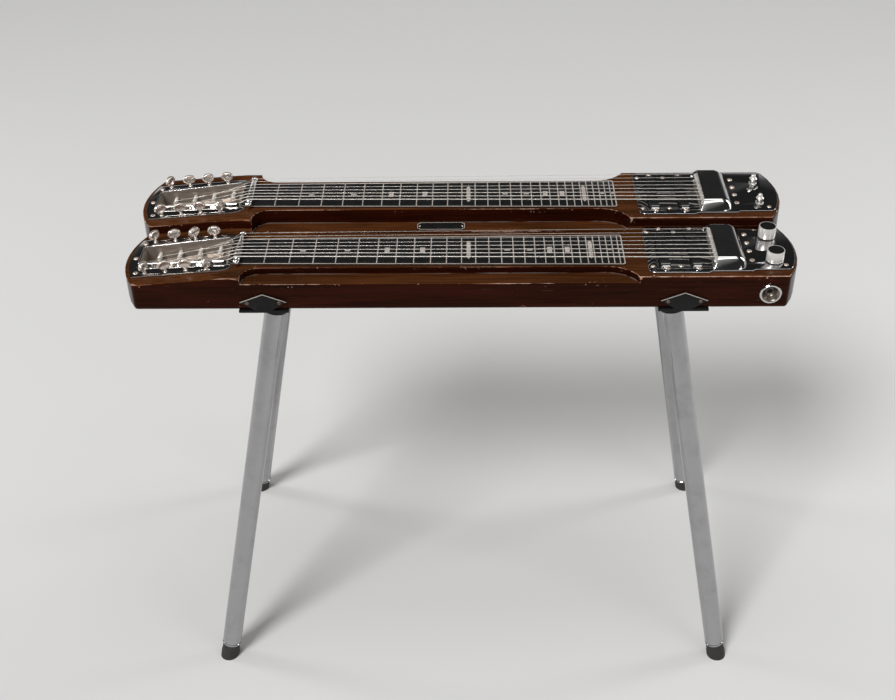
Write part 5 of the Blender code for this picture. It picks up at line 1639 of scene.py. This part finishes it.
@dataclass
class Toggle:
    """A toggle lever: a ball in the plate's mouth and a flared bell on its stem."""

    name: str
    ball: float = 0.0030
    tube: float = 0.0020
    stem: float = 0.0014
    bell: float = 0.0050
    waist: float = 0.0028
    pivot_depth: float = 0.0058
    tube_share: float = 0.36
    bell_length: float = 0.0066
    skirt_length: float = 0.0056
    dome: float = 0.0022
    nut_inside: float = 0.0042
    nut_outside: float = 0.0053
    nut_height: float = 0.0009

    def build(self) -> None:
        """Turn the lever on its own joint's place, and the nut that holds the switch in the plate."""
        joint = next(j for j in frame["joints"] if j["name"] == f"{self.name}_throw")
        place = Vector(joint["pos_m"])
        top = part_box(self.name)[1].z - place.z
        depth = self.pivot_depth
        profile = [(self.ball * math.sin(a), -self.ball * math.cos(a)) for a in (k * 0.26 for k in range(9))]
        low, skirt, shoulder = top - self.bell_length, top - self.skirt_length, top - self.dome
        collar = depth + self.tube_share * (top - depth)
        profile += [(self.tube, self.ball + 0.0002), (self.tube, collar - 0.0004), (self.tube - 0.0004, collar)]
        profile += [(self.stem, collar + 0.0002), (self.stem, low + 0.0006), (self.bell - 0.0010, low + 0.0002)]
        profile += [(self.bell - 0.0004, low), (self.bell, low + 0.0004), (self.bell, skirt)]
        for step in range(1, 7):
            left = 1 - step / 6
            profile.append((self.waist + (self.bell - self.waist) * left ** 2, shoulder + (skirt - shoulder) * left))
        for angle in (0.5, 1.0, 1.35):
            rounding = self.waist - 0.0012 * (1 - math.cos(angle))
            profile.append((rounding, shoulder + (top - shoulder) * math.sin(angle)))
        profile.append((0.0, top))
        shape = moved(lathe(profile, 40), Matrix.Translation(place))
        piece(f"{self.name}_lever", shape, TOGGLE_NICKEL, body=self.name, replaces=[self.name])
        base = NECKS[1].plate_top
        high = base + self.nut_height
        nut = [(self.nut_inside, base), (self.nut_outside, base), (self.nut_outside, high - 0.0003)]
        nut += [(self.nut_outside - 0.0003, high), (self.nut_inside, high), (self.nut_inside, base)]
        ring = moved(lathe(nut, 12), shift(place.x, place.y, 0.0))
        bmesh.ops.remove_doubles(ring, verts=ring.verts, dist=0.000001)
        piece(f"{self.name}_nut", ring, TOGGLE_NICKEL, smooth=25.0)


@dataclass
class JackCup:
    """The recessed jack cup on the front apron, with turned rings inside and a dark socket."""

    rim: float = 0.0130
    cup: float = 0.0105
    floor: float = 0.0060
    depth: float = 0.0080
    bore: float = 0.0034
    barrel: float = 0.0056
    back: float = 0.0230
    thickness: float = 0.0012
    rings: int = 5

    def build(self) -> None:
        """Turn the cup and its socket about their own axis."""
        low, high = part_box("jack_cup")
        x, z = (low.x + high.x) / 2, (low.z + high.z) / 2
        turn = shift(x, low.y, z) @ Matrix.Rotation(-math.pi / 2, 4, "X")
        profile = [
            (self.bore, self.back),
            (self.bore, self.depth - 0.0012),
            (self.bore + 0.0008, self.depth - 0.0018),
            (self.bore + 0.0016, self.depth - 0.0014),
            (self.bore + 0.0018, self.depth - 0.0002),
            (self.floor - 0.0006, self.depth),
            *self.ringed_wall(),
            (self.cup + 0.0003, 0.0004),
            (self.rim - 0.0004, 0.0004),
            (self.rim - 0.0004, self.thickness),
            (self.cup + self.thickness, self.thickness),
            (self.floor + self.thickness, self.depth + self.thickness),
            (self.barrel, self.depth + self.thickness),
            (self.barrel, self.back),
            (self.bore, self.back),
        ]
        shape = lathe(profile, 72)
        bmesh.ops.remove_doubles(shape, verts=shape.verts, dist=0.000001)
        piece("jack_cup_shell", moved(shape, turn), CUP_DARK, replaces=["jack_cup"])
        lip = [(self.cup, 0.0007), (self.cup + 0.0002, 0.0002), (self.cup + 0.0007, 0.0), (self.rim - 0.0007, 0.0)]
        lip += [(self.rim, 0.0007), (self.rim, self.thickness), (self.cup + 0.0006, self.thickness)]
        ring = lathe([*lip, lip[0]], 72)
        bmesh.ops.remove_doubles(ring, verts=ring.verts, dist=0.000001)
        piece("jack_cup_rim", moved(ring, turn), CHROME)
        inside = self.bore - 0.0001
        plug = lathe([(0.0, self.depth + 0.0030), (inside, self.depth + 0.0030), (inside, self.back - 0.0010),
                      (0.0, self.back - 0.0010)], 32)
        piece("jack_socket_insulator", moved(plug, turn), COIL_BLACK)

    def ringed_wall(self) -> Outline:
        """The cup's sloping wall from its floor to its mouth, stepped in turned rings."""
        points = []
        for ring in range(self.rings):
            start, end = ring / self.rings, (ring + 1) / self.rings
            for share, back in ((start, 0.0), (end - 0.25 / self.rings, 0.00025)):
                radius = self.floor + 0.0004 + (self.cup - self.floor - 0.0008) * share
                points.append((radius, self.depth - 0.0008 - (self.depth - 0.0012) * share + back))
        return points


@dataclass
class BadgePlate:
    """The small bare plate on the rear ledge, with notched corners and two pins."""

    left: float = -0.0535
    right: float = 0.0070
    low_y: float = 0.0040
    high_y: float = 0.0220
    notch: float = 0.0030
    thickness: float = 0.0010
    ledge: float = 0.5797

    def build(self) -> None:
        """Make the plate, its bright border and its pins."""
        black = prism(self.outline(0.0), self.ledge + 0.0001, self.ledge + self.thickness)
        piece("badge_plate", bevelled(black, 0.0002, 1), ENAMEL)
        shape = bmesh.new()
        rows = []
        for inset in (0.0004, 0.0012):
            for z in (self.ledge + self.thickness - 0.00005, self.ledge + self.thickness + 0.00008):
                rows.append([shape.verts.new((x, y, z)) for x, y in self.outline(inset)])
        for lower, upper in ((0, 1), (1, 3), (3, 2), (2, 0)):
            for k in range(len(rows[0])):
                after = (k + 1) % len(rows[0])
                shape.faces.new((rows[lower][k], rows[lower][after], rows[upper][after], rows[upper][k]))
        piece("badge_border", shape, PRINT_WHITE)
        up = Vector((0.0, 0.0, 1.0))
        middle = (self.low_y + self.high_y) / 2
        z = self.ledge + self.thickness
        spots = (self.left + 0.0036, self.right - 0.0036)
        screws("badge_pins", [ScrewPlace(Vector((x, middle, z)), up, 0.5) for x in spots], 0.45)

    def outline(self, inset: float) -> Outline:
        """A rectangle with each corner notched in a quarter circle."""
        left, right = self.left + inset, self.right - inset
        low, high = self.low_y + inset, self.high_y - inset
        radius = self.notch
        points = arc((left, low), radius, 90, 0, 4) + arc((right, low), radius, 180, 90, 4)
        return points + arc((right, high), radius, 270, 180, 4) + arc((left, high), radius, 0, -90, 4)


@dataclass
class LegRail:
    """A cross rail with its turned-up kites: enamel, an off-white line on each and their screws."""

    name: str
    centre: float
    underside: float = 0.5440
    kite_half: float = 0.0285
    kite_peak: float = 0.0235
    kite_tip: float = 0.0120
    line: float = 0.0011
    screw_x: float = 0.0192
    screw_z: float = 0.0105

    def build(self) -> None:
        """Dress the rail, and add the lines and screws of both kites."""
        rail = bevelled(node_copy(self.name), 0.0003, 1, 50.0)
        piece(f"{self.name}_enamel", rail, ENAMEL, replaces=[self.name])
        low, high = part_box(self.name)
        lines, places = [], []
        for side, face in ((-1, low.y), (1, high.y)):
            for end in (-1, 1):
                lines.append(self.strip(end, side, face))
                point = Vector((self.centre + end * self.screw_x, face, self.underside + self.screw_z))
                places.append(ScrewPlace(point, Vector((0.0, side, 0.0)), 0.8 * end + side))
        piece(f"{self.name}_lines", together(lines), PRINT_WHITE)
        screws(f"{self.name}_kite_screws", places, 0.75, DARK_SCREW)
        self.under_screws(low)

    def strip(self, end: int, side: int, face: float) -> bmesh.types.BMesh:
        """The line along one upper edge of a kite."""
        peak = Vector((self.centre, 0.0, self.underside + self.kite_peak - 0.0002))
        tip = Vector((self.centre + end * self.kite_half, 0.0, self.underside + self.kite_tip - 0.0001))
        along = (tip - peak).normalized()
        down = Vector((-along.z * end, 0.0, along.x * end)) * -1.0
        if down.z > 0:
            down.negate()
        tip -= along * 0.0006
        corners = [peak, tip, tip + down * self.line, peak + down * self.line * 1.05]
        rows = [[(c.x, face + side * out, c.z) for c in corners] for out in (-0.00005, 0.00008)]
        return loft(rows)

    def under_screws(self, low: Vector) -> None:
        """The screws that hold the rail to the planks from below."""
        spots = [(x, y) for x in (-0.020, 0.020) for y in (-0.042, -0.016, 0.016, 0.042)]
        down = Vector((0.0, 0.0, -1.0))
        bottom = self.underside - 0.0033
        places = [
            ScrewPlace(Vector((self.centre + x, y, bottom)), down, 1.3 * index)
            for index, (x, y) in enumerate(spots)
        ]
        screws(f"{self.name}_under_screws", places, 1.1, DARK_SCREW)


@dataclass
class Leg:
    """A tubular chrome leg with its turned ring and rubber foot."""

    name: str
    top: Vector
    foot: Vector
    radius: float = 0.0127
    stud: float = 0.0090
    socket: float = 0.0183
    ring_low: float = 0.0215
    ring_high: float = 0.0245

    def build(self) -> None:
        """Turn the tube and the foot on the leg's own axis."""
        axis = (self.top - self.foot).normalized()
        length = (self.top - self.foot).length
        matrix = Matrix.Translation(self.foot) @ Vector((0.0, 0.0, 1.0)).rotation_difference(axis).to_matrix().to_4x4()
        radius = self.radius
        tube = [
            (0.0, self.ring_low),
            (radius - 0.0012, self.ring_low),
            (radius, self.ring_low + 0.0006),
            (radius, self.ring_high - 0.0004),
            (radius - 0.0006, self.ring_high),
            (radius - 0.0006, self.ring_high + 0.0006),
            (radius, self.ring_high + 0.0012),
            (radius, length - self.socket - 0.0010),
            (radius - 0.0010, length - self.socket),
            (self.stud, length - self.socket),
            (self.stud, length - 0.0030),
            (0.0, length - 0.0030),
        ]
        shape = moved(lathe(tube, 48), matrix)
        piece(f"{self.name}_tube", shape, LEG_CHROME_PAINTED_DARK, replaces=[self.name])
        rubber = [
            (0.0, -0.004),
            (0.0125, -0.004),
            (0.0125, 0.0085),
            (0.0122, 0.0100),
            (0.0118, 0.0112),
            (0.0115, self.ring_low - 0.0004),
            (0.0, self.ring_low - 0.0004),
        ]
        foot = moved(lathe(rubber, 48), matrix)
        geometry = [*foot.verts, *foot.edges, *foot.faces]
        cut = bmesh.ops.bisect_plane(foot, geom=geometry, plane_co=(0.0, 0.0, 0.0), plane_no=(0.0, 0.0, -1.0),
                                     clear_outer=True)
        rim = [item for item in cut["geom_cut"] if isinstance(item, bmesh.types.BMEdge)]
        bmesh.ops.contextual_create(foot, geom=rim)
        piece(f"{self.name}_foot", foot, FOOT_RUBBER)


@dataclass
class Studio:
    """The pale floor, the soft light and the camera at the photograph's viewing angle."""

    floor_colour: Colour = (0.60, 0.595, 0.585)
    camera_place: Place = (0.01356, -1.4528, 1.4519)
    forward: Place = (-0.0173, 0.8091, -0.5874)
    roll: float = 0.0162
    focal_pixels: float = 1350.0
    sun_strength: float = 2.7
    sun_angle: float = 0.35
    sun_from: Place = (-0.5, -0.75, 1.0)

    def build(self) -> None:
        """Make the floor, the world, the lamps and the camera."""
        self.floor()
        self.world()
        self.sun()
        self.lamp("top", (0.0, 0.1, 3.1), (2.2, 0.8), 15.0)
        self.lamp("fill", (1.9, -1.9, 1.7), (1.2, 1.2), 9.0)
        self.lamp("left_edge", (-2.3, 0.7, 1.4), (0.5, 1.4), 14.0)
        self.lamp("right_edge", (2.3, 0.7, 1.4), (0.5, 1.4), 14.0)
        self.lamp("front_top", (0.0, -0.85, 2.8), (2.4, 0.30), 5.0)
        self.camera()

    def floor(self) -> None:
        """A wide plain floor."""
        half = 30.0
        mesh = bpy.data.meshes.new("floor")
        mesh.from_pydata([(-half, -half, 0), (half, -half, 0), (half, half, 0), (-half, half, 0)], [], [(0, 1, 2, 3)])
        graph = Graph("pale_floor")
        graph.set(Base_Color=self.floor_colour, Roughness=0.9)
        mesh.materials.append(graph.material)
        obj = bpy.data.objects.new("floor", mesh)
        bpy.context.scene.collection.objects.link(obj)

    def world(self) -> None:
        """A soft surround: pale at the horizon and overhead, and dark between them."""
        world = bpy.data.worlds.new("soft_surround")
        world.use_nodes = True
        bpy.context.scene.world = world
        nodes, links = world.node_tree.nodes, world.node_tree.links
        heading = nodes.new("ShaderNodeTexCoord")
        split = nodes.new("ShaderNodeSeparateXYZ")
        links.new(heading.outputs["Generated"], split.inputs[0])
        ramp = nodes.new("ShaderNodeValToRGB")
        links.new(split.outputs[2], ramp.inputs[0])
        stops = ((0.0, 0.60), (0.08, 0.50), (0.22, 0.08), (0.36, 0.025), (0.80, 0.025), (0.93, 0.30), (1.0, 0.50))
        ramp.color_ramp.elements[0].position = stops[0][0]
        ramp.color_ramp.elements[1].position = stops[-1][0]
        for position, _level in stops[1:-1]:
            ramp.color_ramp.elements.new(position)
        for element, (position, level) in zip(ramp.color_ramp.elements, stops):
            element.position = position
            element.color = (level, level, level, 1.0)
        background = nodes["Background"]
        links.new(ramp.outputs[0], background.inputs["Color"])
        background.inputs["Strength"].default_value = 1.0

    def lamp(self, name: str, place: Place, size: tuple[float, float], power: float) -> None:
        """One soft area lamp, aimed at the middle of the console."""
        data = bpy.data.lights.new(name, "AREA")
        data.shape = "RECTANGLE"
        data.size, data.size_y = size
        data.energy = power
        obj = bpy.data.objects.new(name, data)
        bpy.context.scene.collection.objects.link(obj)
        obj.location = place
        aim = Vector((0.0, 0.0, 0.55)) - Vector(place)
        obj.rotation_mode = "QUATERNION"
        obj.rotation_quaternion = aim.to_track_quat("-Z", "Y")

    def sun(self) -> None:
        """A broad soft sun from the front left, which lights the floor evenly."""
        data = bpy.data.lights.new("key", "SUN")
        data.energy = self.sun_strength
        data.angle = self.sun_angle
        obj = bpy.data.objects.new("key", data)
        bpy.context.scene.collection.objects.link(obj)
        obj.rotation_mode = "QUATERNION"
        obj.rotation_quaternion = Vector(self.sun_from).to_track_quat("Z", "Y")

    def camera(self) -> None:
        """The camera, placed and turned as the photograph was taken."""
        forward = Vector(self.forward).normalized()
        level = forward.cross(Vector((0.0, 0.0, 1.0))).normalized()
        down = forward.cross(level)
        right = math.cos(self.roll) * level + math.sin(self.roll) * down
        lower = forward.cross(right)
        data = bpy.data.cameras.new("camera")
        data.sensor_width = 36.0
        data.lens = self.focal_pixels * data.sensor_width / IMAGE_SIZE[0]
        obj = bpy.data.objects.new("camera", data)
        bpy.context.scene.collection.objects.link(obj)
        turn = Matrix((right, -lower, -forward)).transposed().to_4x4()
        obj.matrix_world = Matrix.Translation(self.camera_place) @ turn
        bpy.context.scene.camera = obj


# Rest turns of the buttons in degrees, from the first key of the row on the player's side
BUTTON_TURNS = {
    "front": (70, 25, 5, 80, 60, 20, 50, 0),
    "rear": (35, 10, 0, 75, 65, 15, 10, 0),
}
LEG_TOPS_X = (-0.2220, 0.2560)
LEG_FEET_X = (-0.3250, 0.3530)
LEG_TOP_Y = 0.0904
LEG_FOOT_Y = 0.1750
UNDERSIDE = 0.5440
RAIL_CENTRES = (-0.2340, 0.2670)


def build_neck(neck: Neck) -> None:
    """Build everything that one neck carries."""
    Plank(neck).build()
    FretPlate(neck).build()
    NutBar(neck).build()
    TunerPan(neck).build()
    for index, turn in enumerate(BUTTON_TURNS[neck.name]):
        TuningKey(neck, index + 1, turn).build()
        StringPost(neck, index + 1, turn).build()
    StringSet(neck).build()
    Bridge(neck).build()
    PickupPair(neck).build()
    ControlPlate(neck).build()
    BridgeCover(neck).build()


def build_legs() -> None:
    """Build the rails and the four legs."""
    for end, word in enumerate(("left", "right")):
        LegRail(f"{word}_leg_rail", RAIL_CENTRES[end]).build()
        for side, place in ((-1, "front"), (1, "rear")):
            top = Vector((LEG_TOPS_X[end], side * LEG_TOP_Y, UNDERSIDE))
            foot = Vector((LEG_FEET_X[end], side * LEG_FOOT_Y, 0.0))
            Leg(f"{place}_{word}_leg", top, foot).build()


def main() -> None:
    """Build the studio and every sub-assembly."""
    logging.basicConfig(level=logging.INFO, format="%(name)s %(message)s")
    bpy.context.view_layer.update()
    Studio().build()
    for neck in NECKS:
        build_neck(neck)
    Knob("volume_knob").build()
    Knob("tone_knob").build()
    Toggle("pickup_switch").build()
    Toggle("neck_switch").build()
    JackCup().build()
    BadgePlate().build()
    build_legs()
    bpy.context.scene.view_settings.view_transform = "Standard"


if __name__ == "__main__":
    main()
